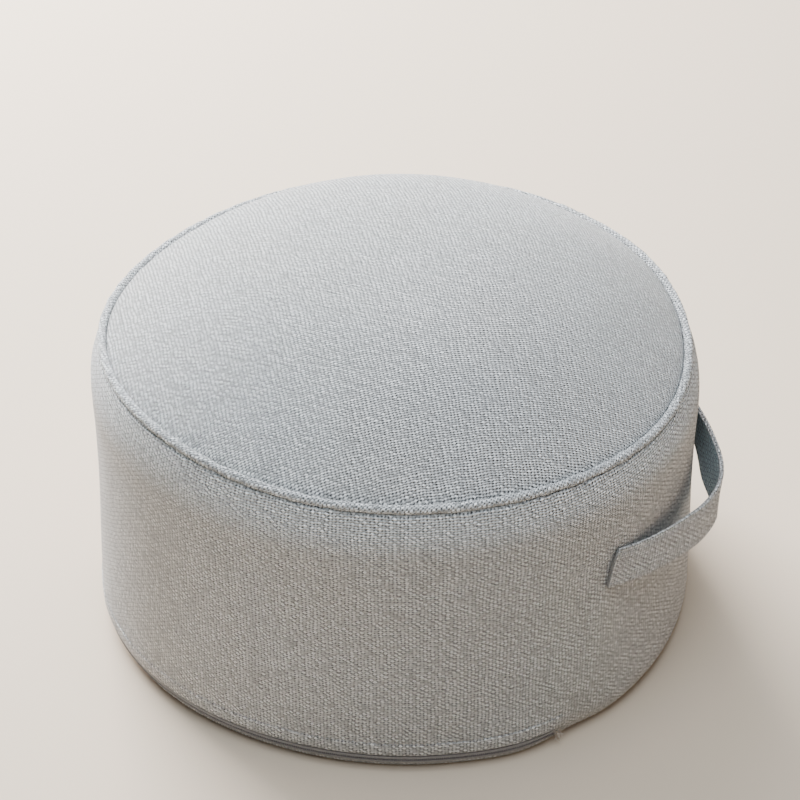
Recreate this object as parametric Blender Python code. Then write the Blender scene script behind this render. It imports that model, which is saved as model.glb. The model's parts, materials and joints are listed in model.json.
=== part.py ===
"""Round floor pouf: a filled seat in plain-weave cloth with a piped top seam.

Metres, +Z up. The origin is the middle of the base, on the floor. The zip side faces -Y and the
carrying handle sits on +X. Every section is worked out from the driving sizes below; azimuths are
in degrees from +X, anticlockwise seen from above.
"""
from collections import namedtuple
import math

import bmesh
import bpy

# Driving sizes
SEAM_RADIUS = 0.200
SEAM_HEIGHT = 0.2273
CROWN_RISE = 0.0700
CROWN_POWER = 2.4
CLOTH = 0.0016
GAP = 0.0003
PIPING_RADIUS = 0.0030

# The whole pouf is drawn as this many columns, one of them at the zip's end
COLUMNS = 90
COLUMN_STEP = 360.0 / COLUMNS
FIRST_AZIMUTH = 1.0

# Unevenness: the seam and the base are not true circles, nor is the seam level
Wave = namedtuple("Wave", "times_round height azimuth")
SEAM_RADIUS_WAVES = (
    Wave(times_round=1, height=0.0021, azimuth=-82.0),
    Wave(times_round=2, height=0.0017, azimuth=14.0),
    Wave(times_round=3, height=0.0021, azimuth=-24.0),
)
SEAM_HEIGHT_WAVES = (
    Wave(times_round=1, height=0.0071, azimuth=-104.0),
    Wave(times_round=2, height=0.0029, azimuth=59.0),
    Wave(times_round=3, height=0.0011, azimuth=-21.0),
    Wave(times_round=4, height=0.0018, azimuth=51.0),
)
BASE_WAVES = (
    Wave(times_round=2, height=0.0068, azimuth=37.0),
    Wave(times_round=3, height=0.0038, azimuth=-38.0),
)
# Local swells (+) and tucks (-): of the side low down by the zip's end, and of the seam at the back
Swell = namedtuple("Swell", "azimuth spread depth")
BASE_SWELLS = (
    Swell(azimuth=-44.0, spread=8.0, depth=0.0022),
    Swell(azimuth=-30.0, spread=6.0, depth=-0.0032),
)
BASE_SWELL_FADE = 0.035
SEAM_SWELLS = (
    Swell(azimuth=69.0, spread=16.0, depth=-0.0025),
)

# The side's outline, as shares of the seam's height
SideRow = namedtuple("SideRow", "share radius")
SIDE_ROWS = (
    SideRow(share=0.00, radius=0.2000),
    SideRow(share=0.02, radius=0.2032),
    SideRow(share=0.04, radius=0.2056),
    SideRow(share=0.07, radius=0.2073),
    SideRow(share=0.14, radius=0.2076),
    SideRow(share=0.30, radius=0.2073),
    SideRow(share=0.50, radius=0.2068),
    SideRow(share=0.70, radius=0.2074),
    SideRow(share=0.80, radius=0.2084),
    SideRow(share=0.87, radius=0.2088),
    SideRow(share=0.91, radius=0.2081),
    SideRow(share=0.95, radius=0.2057),
    SideRow(share=1.00, radius=0.2018),
)
SIDE_STEPS = 10

# Groove that holds the piping, as directions seen from the cord's centre
GROOVE_RADIUS = PIPING_RADIUS + GAP
GROOVE_FROM = -52.0
GROOVE_TO = -178.0
GROOVE_STEPS = 4
TOP_RIM_ANGLE = 150.0
RIM_DIP = 0.0008
RIM_DIP_REACH = 0.008
CROWN_ROWS = 12

# Base panel: a flat disc with a short rim turned up round the filling
BASE_CORNER = 0.0085
BASE_RIM_TOP = 0.0036
BASE_RIM_INSET = 0.0006

# Zip along the front of the bottom edge
ZIP_FROM = -159.0
ZIP_TO = -35.0
ZIP_RECESS = 0.0022
ZIP_TAPE_THICKNESS = 0.0010
ZIP_COIL_THICKNESS = 0.0018
HEM_EDGE = 0.0160
ZipStrip = namedtuple("ZipStrip", "name low high thickness")
ZIP_STRIPS = (
    ZipStrip(name="zip_tape_lower", low=0.0047, high=0.0082, thickness=ZIP_TAPE_THICKNESS),
    ZipStrip(name="zip_coil", low=0.0086, high=0.0116, thickness=ZIP_COIL_THICKNESS),
    ZipStrip(name="zip_tape_upper", low=0.0120, high=0.0154, thickness=ZIP_TAPE_THICKNESS),
)

# Handle: a folded strap, sewn down at both ends and bowed out between them
HANDLE_WIDTH = 0.031
HANDLE_THICKNESS = 0.0032
HANDLE_EDGE_ROUNDING = 0.0008
# The bowed strap's upper edge stands out by this share more than its lower edge
HANDLE_LEAN = 0.25
HANDLE_LINES = 4
HANDLE_STEPS_PER_ROW = 2
HandleRow = namedtuple("HandleRow", "azimuth standoff height")
HANDLE_ROWS = (
    HandleRow(azimuth=-26.0, standoff=0.0004, height=0.1434),
    HandleRow(azimuth=-23.5, standoff=0.0004, height=0.1414),
    HandleRow(azimuth=-21.0, standoff=0.0008, height=0.1396),
    HandleRow(azimuth=-17.0, standoff=0.0028, height=0.1374),
    HandleRow(azimuth=-13.0, standoff=0.0054, height=0.1356),
    HandleRow(azimuth=-9.0, standoff=0.0082, height=0.1340),
    HandleRow(azimuth=-5.0, standoff=0.0111, height=0.1325),
    HandleRow(azimuth=-2.0, standoff=0.0138, height=0.1314),
    HandleRow(azimuth=1.0, standoff=0.0160, height=0.1306),
    HandleRow(azimuth=4.0, standoff=0.0176, height=0.1300),
    HandleRow(azimuth=7.0, standoff=0.0184, height=0.1297),
    HandleRow(azimuth=10.0, standoff=0.0182, height=0.1298),
    HandleRow(azimuth=13.0, standoff=0.0168, height=0.1303),
    HandleRow(azimuth=16.0, standoff=0.0144, height=0.1314),
    HandleRow(azimuth=19.0, standoff=0.0111, height=0.1330),
    HandleRow(azimuth=22.0, standoff=0.0078, height=0.1350),
    HandleRow(azimuth=25.0, standoff=0.0040, height=0.1376),
    HandleRow(azimuth=27.5, standoff=0.0010, height=0.1400),
    HandleRow(azimuth=30.0, standoff=0.0004, height=0.1424),
)

# Colours: linear red, green, blue of the cloth and the zip
Finish = namedtuple("Finish", "name colour roughness metallic")
COVER_CLOTH = Finish(name="cover_cloth", colour=(0.47, 0.50, 0.52), roughness=0.92, metallic=0.0)
SIDE_CLOTH = Finish(name="side_cloth", colour=(0.43, 0.44, 0.44), roughness=0.92, metallic=0.0)
STRAP_CLOTH = Finish(name="strap_cloth", colour=(0.40, 0.42, 0.43), roughness=0.90, metallic=0.0)
ZIP_TAPE = Finish(name="zip_tape", colour=(0.12, 0.12, 0.13), roughness=0.85, metallic=0.0)
ZIP_COIL = Finish(name="zip_coil", colour=(0.09, 0.09, 0.10), roughness=0.45, metallic=0.0)


def clear_scene():
    """Remove whatever the file holds, so the script gives the same pouf each time."""
    for thing in list(bpy.data.objects):
        bpy.data.objects.remove(thing, do_unlink=True)


def make_material(finish):
    """Return the Principled material of one finish."""
    material = bpy.data.materials.get(finish.name)
    if material is None:
        material = bpy.data.materials.new(finish.name)
        material.use_nodes = True
        shader = material.node_tree.nodes["Principled BSDF"]
        shader.inputs["Base Color"].default_value = (*finish.colour, 1.0)
        shader.inputs["Roughness"].default_value = finish.roughness
        shader.inputs["Metallic"].default_value = finish.metallic
    return material


def column_azimuths(start=FIRST_AZIMUTH, count=COLUMNS):
    """Return the azimuths of the pouf's columns."""
    return [start + COLUMN_STEP * i for i in range(count)]


def wave_sum(waves, azimuth):
    """Return how far the waves move a line at this azimuth."""
    return sum(
        wave.height * math.cos(math.radians(wave.times_round * (azimuth - wave.azimuth)))
        for wave in waves
    )


def turn_difference(azimuth, other):
    """Return the angle between two azimuths, from -180 to 180 degrees."""
    return (azimuth - other + 180.0) % 360.0 - 180.0


def swell_sum(swells, azimuth):
    """Return the local swells and tucks at this azimuth."""
    return sum(
        swell.depth * math.exp(-(turn_difference(azimuth, swell.azimuth) / swell.spread) ** 2)
        for swell in swells
    )


def smooth_table(rows, position, key, value):
    """Read a table along a smooth curve through its rows."""
    keys = [getattr(row, key) for row in rows]
    values = [getattr(row, value) for row in rows]
    last = len(rows) - 1
    i = max(0, min(last - 1, sum(1 for k in keys[1:] if k <= position)))
    span = keys[i + 1] - keys[i]
    t = (position - keys[i]) / span

    def slope(j):
        low, high = max(0, j - 1), min(last, j + 1)
        return (values[high] - values[low]) / (keys[high] - keys[low])

    rise = values[i + 1] - values[i]
    a = slope(i) * span - rise
    b = rise - slope(i + 1) * span
    return values[i] + rise * t + t * (1.0 - t) * (a * (1.0 - t) + b * t)


def seam_point(azimuth):
    """Return the radius and height of the piping's centre."""
    radius = SEAM_RADIUS + wave_sum(SEAM_RADIUS_WAVES, azimuth) + swell_sum(SEAM_SWELLS, azimuth)
    height = SEAM_HEIGHT + wave_sum(SEAM_HEIGHT_WAVES, azimuth)
    return radius, height


def side_radius(azimuth, height):
    """Return the radius of the side panel's outer face."""
    seam_r, seam_h = seam_point(azimuth)
    share = max(0.0, min(1.0, height / seam_h))
    mean = smooth_table(SIDE_ROWS, share, "share", "radius")
    uneven = share * (seam_r - SEAM_RADIUS) + (1.0 - share) * wave_sum(BASE_WAVES, azimuth)
    low_down = math.exp(-height / BASE_SWELL_FADE)
    return mean + uneven + low_down * swell_sum(BASE_SWELLS, azimuth)


def crown_height(azimuth, radius):
    """Return the height of the top panel's outer face."""
    seam_r, seam_h = seam_point(azimuth)
    share = radius / seam_r
    dip = RIM_DIP * math.exp((radius - seam_r) / RIM_DIP_REACH)
    rim_level = SEAM_HEIGHT + (seam_h - SEAM_HEIGHT) * share ** 2
    return rim_level + CROWN_RISE * (1.0 - share ** CROWN_POWER) - dip


def around_cord(azimuth, angle, distance):
    """Return the radius and height of a point beside the piping's centre.

    The angle is in degrees, from straight outwards and upwards.
    """
    seam_r, seam_h = seam_point(azimuth)
    turn = math.radians(angle)
    return seam_r + distance * math.cos(turn), seam_h + distance * math.sin(turn)


def crown_outline(azimuth):
    """Return the top panel's outer face from its rim to next to its middle."""
    rim_r, _ = around_cord(azimuth, TOP_RIM_ANGLE, GROOVE_RADIUS)
    points = []
    for i in range(CROWN_ROWS):
        share = 1.0 - i / CROWN_ROWS
        radius = rim_r * math.sin(share * math.pi / 2.0)
        points.append((radius, crown_height(azimuth, radius)))
    return points


def offset_outline(points, distance):
    """Move an outline that runs inwards and up to its lower side by a distance."""
    moved = []
    for i, (radius, height) in enumerate(points):
        r0, h0 = points[max(0, i - 1)]
        r1, h1 = points[min(len(points) - 1, i + 1)]
        length = math.hypot(r1 - r0, h1 - h0)
        moved.append((radius - distance * (h1 - h0) / length, height + distance * (r1 - r0) / length))
    return moved


def zip_depth(azimuth):
    """Return how deep the bottom edge is set back for the zip."""
    tolerance = 0.01
    inside = ZIP_FROM - tolerance <= turn_difference(azimuth, 0.0) <= ZIP_TO + tolerance
    return ZIP_RECESS if inside else 0.0


def body_outline(azimuth):
    """Return the filled body's outline from the base's middle to the crown's middle."""
    floor = CLOTH + GAP
    rim_r = side_radius(azimuth, BASE_RIM_TOP) - BASE_RIM_INSET
    inner = rim_r - CLOTH - GAP
    shelf = BASE_RIM_TOP + GAP
    recess = zip_depth(azimuth)
    points = [
        (inner - BASE_CORNER, floor),
        (inner - BASE_CORNER * 0.45, floor + 0.0004),
        (inner - 0.0004, floor + 0.0014),
        (side_radius(azimuth, shelf) - ZIP_RECESS - GAP, shelf),
        (side_radius(azimuth, shelf) - recess, shelf + 0.0002),
        (side_radius(azimuth, HEM_EDGE) - recess, HEM_EDGE - 0.0002),
        (side_radius(azimuth, HEM_EDGE), HEM_EDGE),
    ]
    _, groove_height = around_cord(azimuth, GROOVE_FROM, GROOVE_RADIUS)
    for i in range(1, SIDE_STEPS):
        eased = 0.5 - 0.5 * math.cos(math.pi * i / SIDE_STEPS)
        height = HEM_EDGE + (groove_height - HEM_EDGE) * eased
        points.append((side_radius(azimuth, height), height))
    for i in range(GROOVE_STEPS + 1):
        angle = GROOVE_FROM + (GROOVE_TO - GROOVE_FROM) * i / GROOVE_STEPS
        points.append(around_cord(azimuth, angle, GROOVE_RADIUS))
    points += offset_outline(crown_outline(azimuth), CLOTH + GAP)
    return points


def ring_surface(name, outlines, azimuths, start_pole=None, end_pole=None):
    """Turn one outline for each azimuth into a mesh closed round the pouf.

    A pole is the height of a point on the axis that closes that end of the outlines.
    """
    mesh = bpy.data.meshes.new(name)
    shape = bmesh.new()
    columns = []
    for azimuth, outline in zip(azimuths, outlines):
        turn = math.radians(azimuth)
        columns.append([
            shape.verts.new((r * math.cos(turn), r * math.sin(turn), h)) for r, h in outline
        ])
    poles = [
        shape.verts.new((0.0, 0.0, pole)) if pole is not None else None
        for pole in (start_pole, end_pole)
    ]
    for i, column in enumerate(columns):
        following = columns[(i + 1) % len(columns)]
        for a, b, c, d in zip(column, column[1:], following[1:], following):
            shape.faces.new((a, d, c, b))
        if poles[0] is not None:
            shape.faces.new((poles[0], following[0], column[0]))
        if poles[1] is not None:
            shape.faces.new((poles[1], column[-1], following[-1]))
    shape.to_mesh(mesh)
    shape.free()
    return mesh


def strip_surface(name, rows):
    """Make an open mesh from rows of points, each row the same length."""
    mesh = bpy.data.meshes.new(name)
    shape = bmesh.new()
    lines = [[shape.verts.new(point) for point in row] for row in rows]
    for line, following in zip(lines, lines[1:]):
        for a, b, c, d in zip(line, line[1:], following[1:], following):
            shape.faces.new((a, d, c, b))
    shape.to_mesh(mesh)
    shape.free()
    return mesh


def add_piece(name, data, finish):
    """Put one named piece in the scene with its material and smooth shading."""
    piece = bpy.data.objects.new(name, data)
    bpy.context.scene.collection.objects.link(piece)
    data.materials.append(make_material(finish))
    if isinstance(data, bpy.types.Mesh):
        data.shade_smooth()
        data.set_sharp_from_angle(angle=math.radians(40.0))
    return piece


def thicken(piece, thickness, offset):
    """Give a sheet its thickness, to the side that its faces point to when offset is 1."""
    solidify = piece.modifiers.new("thickness", "SOLIDIFY")
    solidify.thickness = thickness
    solidify.offset = offset
    solidify.use_even_offset = True
    solidify.use_rim = True


def to_space(azimuth, radius, height):
    """Return the point at this azimuth, radius and height."""
    turn = math.radians(azimuth)
    return radius * math.cos(turn), radius * math.sin(turn), height


def build_side_panel():
    """The side panel with all that it is filled with: drawn in at the base, crowned on top."""
    azimuths = column_azimuths()
    outlines = [body_outline(azimuth) for azimuth in azimuths]
    crown_middle = crown_height(0.0, 0.0) - CLOTH - GAP
    mesh = ring_surface("side_panel", outlines, azimuths, CLOTH + GAP, crown_middle)
    return add_piece("side_panel", mesh, SIDE_CLOTH)


def build_top_panel():
    """The domed disc of cloth inside the piping."""
    azimuths = column_azimuths()
    outlines = [crown_outline(azimuth) for azimuth in azimuths]
    mesh = ring_surface("top_panel", outlines, azimuths, end_pole=crown_height(0.0, 0.0))
    panel = add_piece("top_panel", mesh, COVER_CLOTH)
    thicken(panel, CLOTH, -1.0)
    return panel


def build_base_panel():
    """The flat disc under the pouf, its rim turned up to the bottom seam."""
    azimuths = column_azimuths()
    outlines = []
    for azimuth in azimuths:
        rim = side_radius(azimuth, BASE_RIM_TOP) - BASE_RIM_INSET
        outlines.append([
            (rim - BASE_CORNER, 0.0),
            (rim - BASE_CORNER * 0.42, 0.0004),
            (rim - 0.0010, 0.0014),
            (rim, 0.0025),
            (rim, BASE_RIM_TOP),
        ])
    mesh = ring_surface("base_panel", outlines, azimuths, start_pole=0.0)
    panel = add_piece("base_panel", mesh, SIDE_CLOTH)
    thicken(panel, CLOTH, -1.0)
    return panel


def build_piping():
    """The covered cord in the top seam."""
    cord = bpy.data.curves.new("piping", "CURVE")
    cord.dimensions = "3D"
    cord.bevel_depth = PIPING_RADIUS
    cord.bevel_resolution = 2
    line = cord.splines.new("POLY")
    azimuths = column_azimuths()
    line.points.add(len(azimuths) - 1)
    for point, azimuth in zip(line.points, azimuths):
        point.co = (*to_space(azimuth, *seam_point(azimuth)), 1.0)
    line.use_cyclic_u = True
    return add_piece("piping", cord, COVER_CLOTH)


def build_zip_strip(strip):
    """One strip of the zip, lying in the recess along the bottom edge."""
    steps = round((ZIP_TO - ZIP_FROM) / COLUMN_STEP)
    rows = []
    for azimuth in column_azimuths(ZIP_FROM, steps + 1):
        row = []
        for height in (strip.low, strip.high):
            radius = side_radius(azimuth, height) - ZIP_RECESS + GAP
            row.append(to_space(azimuth, radius, height))
        rows.append(row)
    piece = add_piece(strip.name, strip_surface(strip.name, rows),
                      ZIP_COIL if strip.name == "zip_coil" else ZIP_TAPE)
    thicken(piece, strip.thickness, 1.0)
    return piece


def handle_rows():
    """Return the strap's inner face as rows of points across its width."""
    steps = (len(HANDLE_ROWS) - 1) * HANDLE_STEPS_PER_ROW
    stations = []
    for i in range(steps + 1):
        row, part = divmod(i, HANDLE_STEPS_PER_ROW)
        start = HANDLE_ROWS[row].azimuth
        end = HANDLE_ROWS[min(row + 1, len(HANDLE_ROWS) - 1)].azimuth
        stations.append(start + (end - start) * part / HANDLE_STEPS_PER_ROW)
    centres = [
        (azimuth, smooth_table(HANDLE_ROWS, azimuth, "azimuth", "standoff"),
         smooth_table(HANDLE_ROWS, azimuth, "azimuth", "height"))
        for azimuth in stations
    ]
    mean_radius = SIDE_ROWS[len(SIDE_ROWS) // 2].radius
    metres_per_degree = math.radians(1.0) * mean_radius
    rows = []
    for i, (azimuth, standoff, height) in enumerate(centres):
        before, after = centres[max(0, i - 1)], centres[min(len(centres) - 1, i + 1)]
        run = (after[0] - before[0]) * metres_per_degree
        slope = math.atan2(after[2] - before[2], run)
        row = []
        for line in range(HANDLE_LINES + 1):
            across = HANDLE_WIDTH * (line / HANDLE_LINES - 0.5)
            line_azimuth = azimuth - across * math.sin(slope) / metres_per_degree
            line_height = height + across * math.cos(slope)
            lean = 1.0 + HANDLE_LEAN * across / HANDLE_WIDTH
            radius = side_radius(line_azimuth, line_height) + standoff * lean
            row.append(to_space(line_azimuth, radius, line_height))
        rows.append(row)
    return rows


def build_handle():
    """The carrying strap on the side."""
    piece = add_piece("handle", strip_surface("handle", handle_rows()), STRAP_CLOTH)
    thicken(piece, HANDLE_THICKNESS, 1.0)
    rounding = piece.modifiers.new("rounding", "BEVEL")
    rounding.width = HANDLE_EDGE_ROUNDING
    rounding.segments = 1
    rounding.limit_method = "ANGLE"
    rounding.angle_limit = math.radians(60.0)
    return piece


def main():
    """Build every piece of the pouf."""
    clear_scene()
    build_side_panel()
    build_top_panel()
    build_base_panel()
    build_piping()
    for strip in ZIP_STRIPS:
        build_zip_strip(strip)
    build_handle()


main()
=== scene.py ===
"""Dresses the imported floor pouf: woven cover, piped seam, folded carrying strap and bottom zip.

Metres, +Z up. The origin is the middle of the base, on the floor. The strap sits on +X and the
zip faces -Y. Azimuths are in degrees from +X, anticlockwise seen from above.
"""
from dataclasses import dataclass
from enum import Enum
import json
import logging
import math
from typing import Any, NamedTuple

import bpy
import numpy as np
from mathutils import Matrix, Vector

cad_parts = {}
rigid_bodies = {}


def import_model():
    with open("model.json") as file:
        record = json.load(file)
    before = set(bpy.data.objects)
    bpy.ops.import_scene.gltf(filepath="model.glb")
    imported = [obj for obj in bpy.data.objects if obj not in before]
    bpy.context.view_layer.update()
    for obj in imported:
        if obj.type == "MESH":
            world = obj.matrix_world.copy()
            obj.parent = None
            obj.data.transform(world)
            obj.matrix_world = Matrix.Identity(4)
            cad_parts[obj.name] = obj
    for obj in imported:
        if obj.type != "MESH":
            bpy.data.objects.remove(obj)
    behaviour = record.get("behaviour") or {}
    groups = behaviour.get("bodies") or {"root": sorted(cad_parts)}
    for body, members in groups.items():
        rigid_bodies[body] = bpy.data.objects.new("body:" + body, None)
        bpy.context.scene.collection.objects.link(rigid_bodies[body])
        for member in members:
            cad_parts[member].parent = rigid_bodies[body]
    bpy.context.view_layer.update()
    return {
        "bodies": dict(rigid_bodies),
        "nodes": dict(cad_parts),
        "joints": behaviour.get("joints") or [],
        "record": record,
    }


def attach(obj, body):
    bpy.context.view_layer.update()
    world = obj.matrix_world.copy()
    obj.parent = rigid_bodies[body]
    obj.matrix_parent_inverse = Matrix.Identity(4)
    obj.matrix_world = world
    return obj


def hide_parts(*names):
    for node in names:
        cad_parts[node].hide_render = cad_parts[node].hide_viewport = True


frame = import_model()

BODY = "root"
WEAVE_MAP = "weave"
OUT_ATTRIBUTE = "out"
MILLIMETRE = 0.001
FULL_TURN = 360.0

log = logging.getLogger("pouf")

Array = np.ndarray


class Wave(NamedTuple):
    """A regular rise and fall round the pouf."""

    times_round: int
    height: float
    azimuth: float


class Swell(NamedTuple):
    """A local swell (+) or tuck (-) of the cloth at one azimuth."""

    azimuth: float
    spread: float
    depth: float


class StrapRow(NamedTuple):
    """Where the strap's middle line runs: how far off the side, and how high."""

    azimuth: float
    standoff: float
    height: float


class Closing(Enum):
    """How a grid of points closes into a surface."""

    ROUND = "each row is a ring"
    TUBE = "each column is a ring, and both ends are capped"
    RING = "rows and columns are both rings"


def linear_colour(code: str) -> tuple[float, float, float, float]:
    """Turn an sRGB hex colour into linear red, green, blue and alpha.

    Args:
        code: six hex digits.

    Returns:
        The linear colour with an alpha of 1.
    """
    parts = [int(code[i:i + 2], 16) / 255.0 for i in (0, 2, 4)]
    linear = [c / 12.92 if c <= 0.04045 else ((c + 0.055) / 1.055) ** 2.4 for c in parts]
    return (*linear, 1.0)


def add_node(
    tree: bpy.types.NodeTree,
    kind: str,
    settings: dict[str, Any] | None = None,
    links: dict[str | int, Any] | None = None,
) -> bpy.types.Node:
    """Add a node with its settings and links.

    Args:
        tree: the node tree that gets the node.
        kind: the node's type name.
        settings: the node's own properties.
        links: for each input, by name or number, a value or the socket that feeds it.

    Returns:
        The new node.
    """
    node = tree.nodes.new(kind)
    for name, value in (settings or {}).items():
        setattr(node, name, value)
    for key, value in (links or {}).items():
        if isinstance(value, bpy.types.NodeSocket):
            tree.links.new(value, node.inputs[key])
        else:
            node.inputs[key].default_value = value
    return node


def start_material(
    name: str, inputs: dict[str, Any],
) -> tuple[bpy.types.Material, bpy.types.NodeTree, bpy.types.Node]:
    """Start a material whose shader has these plain inputs.

    Args:
        name: the material's name.
        inputs: values for the shader's inputs, by name.

    Returns:
        The material, its node tree and its shader.
    """
    material = bpy.data.materials.new(name)
    material.use_nodes = True
    shader = material.node_tree.nodes["Principled BSDF"]
    for key, value in inputs.items():
        shader.inputs[key].default_value = value
    return material, material.node_tree, shader


def sum_waves(waves: tuple[Wave, ...], azimuth: Array) -> Array:
    """Return how far the waves move a line at these azimuths."""
    return sum(w.height * np.cos(np.radians(w.times_round * (azimuth - w.azimuth))) for w in waves)


def azimuths_round(columns: int) -> Array:
    """Return azimuths evenly round the pouf."""
    return np.arange(columns) * FULL_TURN / columns


def turn_between(azimuth: Array, other: float) -> Array:
    """Return the angle between azimuths, from -180 to 180 degrees."""
    return (azimuth - other + FULL_TURN / 2.0) % FULL_TURN - FULL_TURN / 2.0


def sum_swells(swells: tuple[Swell, ...], azimuth: Array) -> Array:
    """Return the local swells and tucks at these azimuths."""
    return sum(s.depth * np.exp(-(turn_between(azimuth, s.azimuth) / s.spread) ** 2) for s in swells)


def smooth_step(value: Array, start: float, end: float) -> Array:
    """Rise smoothly from 0 at start to 1 at end."""
    t = np.clip((value - start) / (end - start), 0.0, 1.0)
    return t * t * (3.0 - 2.0 * t)


def through_table(keys: Array, values: Array, at: Array) -> Array:
    """Read a table along a smooth curve through its rows.

    Args:
        keys: the rows' positions, rising.
        values: the rows' values.
        at: the positions to read.

    Returns:
        The value at each position.
    """
    slopes = np.gradient(values)
    slopes[1:-1] = (values[2:] - values[:-2]) / (keys[2:] - keys[:-2])
    slopes[0] = (values[1] - values[0]) / (keys[1] - keys[0])
    slopes[-1] = (values[-1] - values[-2]) / (keys[-1] - keys[-2])
    i = np.clip(np.searchsorted(keys, at, side="right") - 1, 0, len(keys) - 2)
    span = keys[i + 1] - keys[i]
    t = (at - keys[i]) / span
    rise = values[i + 1] - values[i]
    a = slopes[i] * span - rise
    b = rise - slopes[i + 1] * span
    return values[i] + rise * t + t * (1.0 - t) * (a * (1.0 - t) + b * t)


def uneven(azimuth: Array, low: int, high: int, seed: int, lines: int = 9) -> Array:
    """Mix waves round the pouf into one uneven line of about unit height.

    Args:
        azimuth: where to read the line.
        low: fewest waves round the pouf.
        high: most waves round the pouf.
        seed: picks the mix.
        lines: how many waves are mixed.

    Returns:
        The line's height at each azimuth.
    """
    picker = np.random.default_rng(seed)
    total = np.zeros_like(azimuth, dtype=float)
    for times, start in zip(picker.integers(low, high + 1, lines), picker.uniform(0, FULL_TURN, lines)):
        total += np.cos(np.radians(times * azimuth + start))
    return total * math.sqrt(2.0 / lines)


def spline_weights(t: Array) -> tuple[Array, Array, Array, Array]:
    """Return the weights of four neighbours in a row of values, at t from the second to the third."""
    return ((1.0 - t) ** 3 / 6.0, (3.0 * t ** 3 - 6.0 * t ** 2 + 4.0) / 6.0,
            (3.0 * (t + t ** 2 - t ** 3) + 1.0) / 6.0, t ** 3 / 6.0)


def read_net(net: Array, azimuth: Array, share: Array) -> Array:
    """Read a net of values round the pouf along smooth curves.

    Args:
        net: rows by columns, the columns evenly round the pouf.
        azimuth: where to read it.
        share: how far through its rows, from 0 to 1.

    Returns:
        The value at each place.
    """
    rows, columns = net.shape
    round_share = azimuth % FULL_TURN / FULL_TURN
    row, column = np.broadcast_arrays(np.clip(share, 0.0, 1.0) * (rows - 1), round_share * columns)
    i, j = np.floor(row).astype(int), np.floor(column).astype(int)
    total = np.zeros(row.shape)
    for a, by_row in enumerate(spline_weights(row - i)):
        for b, by_column in enumerate(spline_weights(column - j)):
            total += by_row * by_column * net[np.clip(i + a - 1, 0, rows - 1), (j + b - 1) % columns]
    return total


def round_points(azimuth: Array, radius: Array, height: Array) -> Array:
    """Return points from azimuths, radii and heights."""
    turn = np.radians(azimuth)
    return np.stack(np.broadcast_arrays(radius * np.cos(turn), radius * np.sin(turn), height), -1)


def unit(vectors: Array) -> Array:
    """Return the vectors at a length of 1."""
    return vectors / np.linalg.norm(vectors, axis=-1, keepdims=True)


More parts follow.
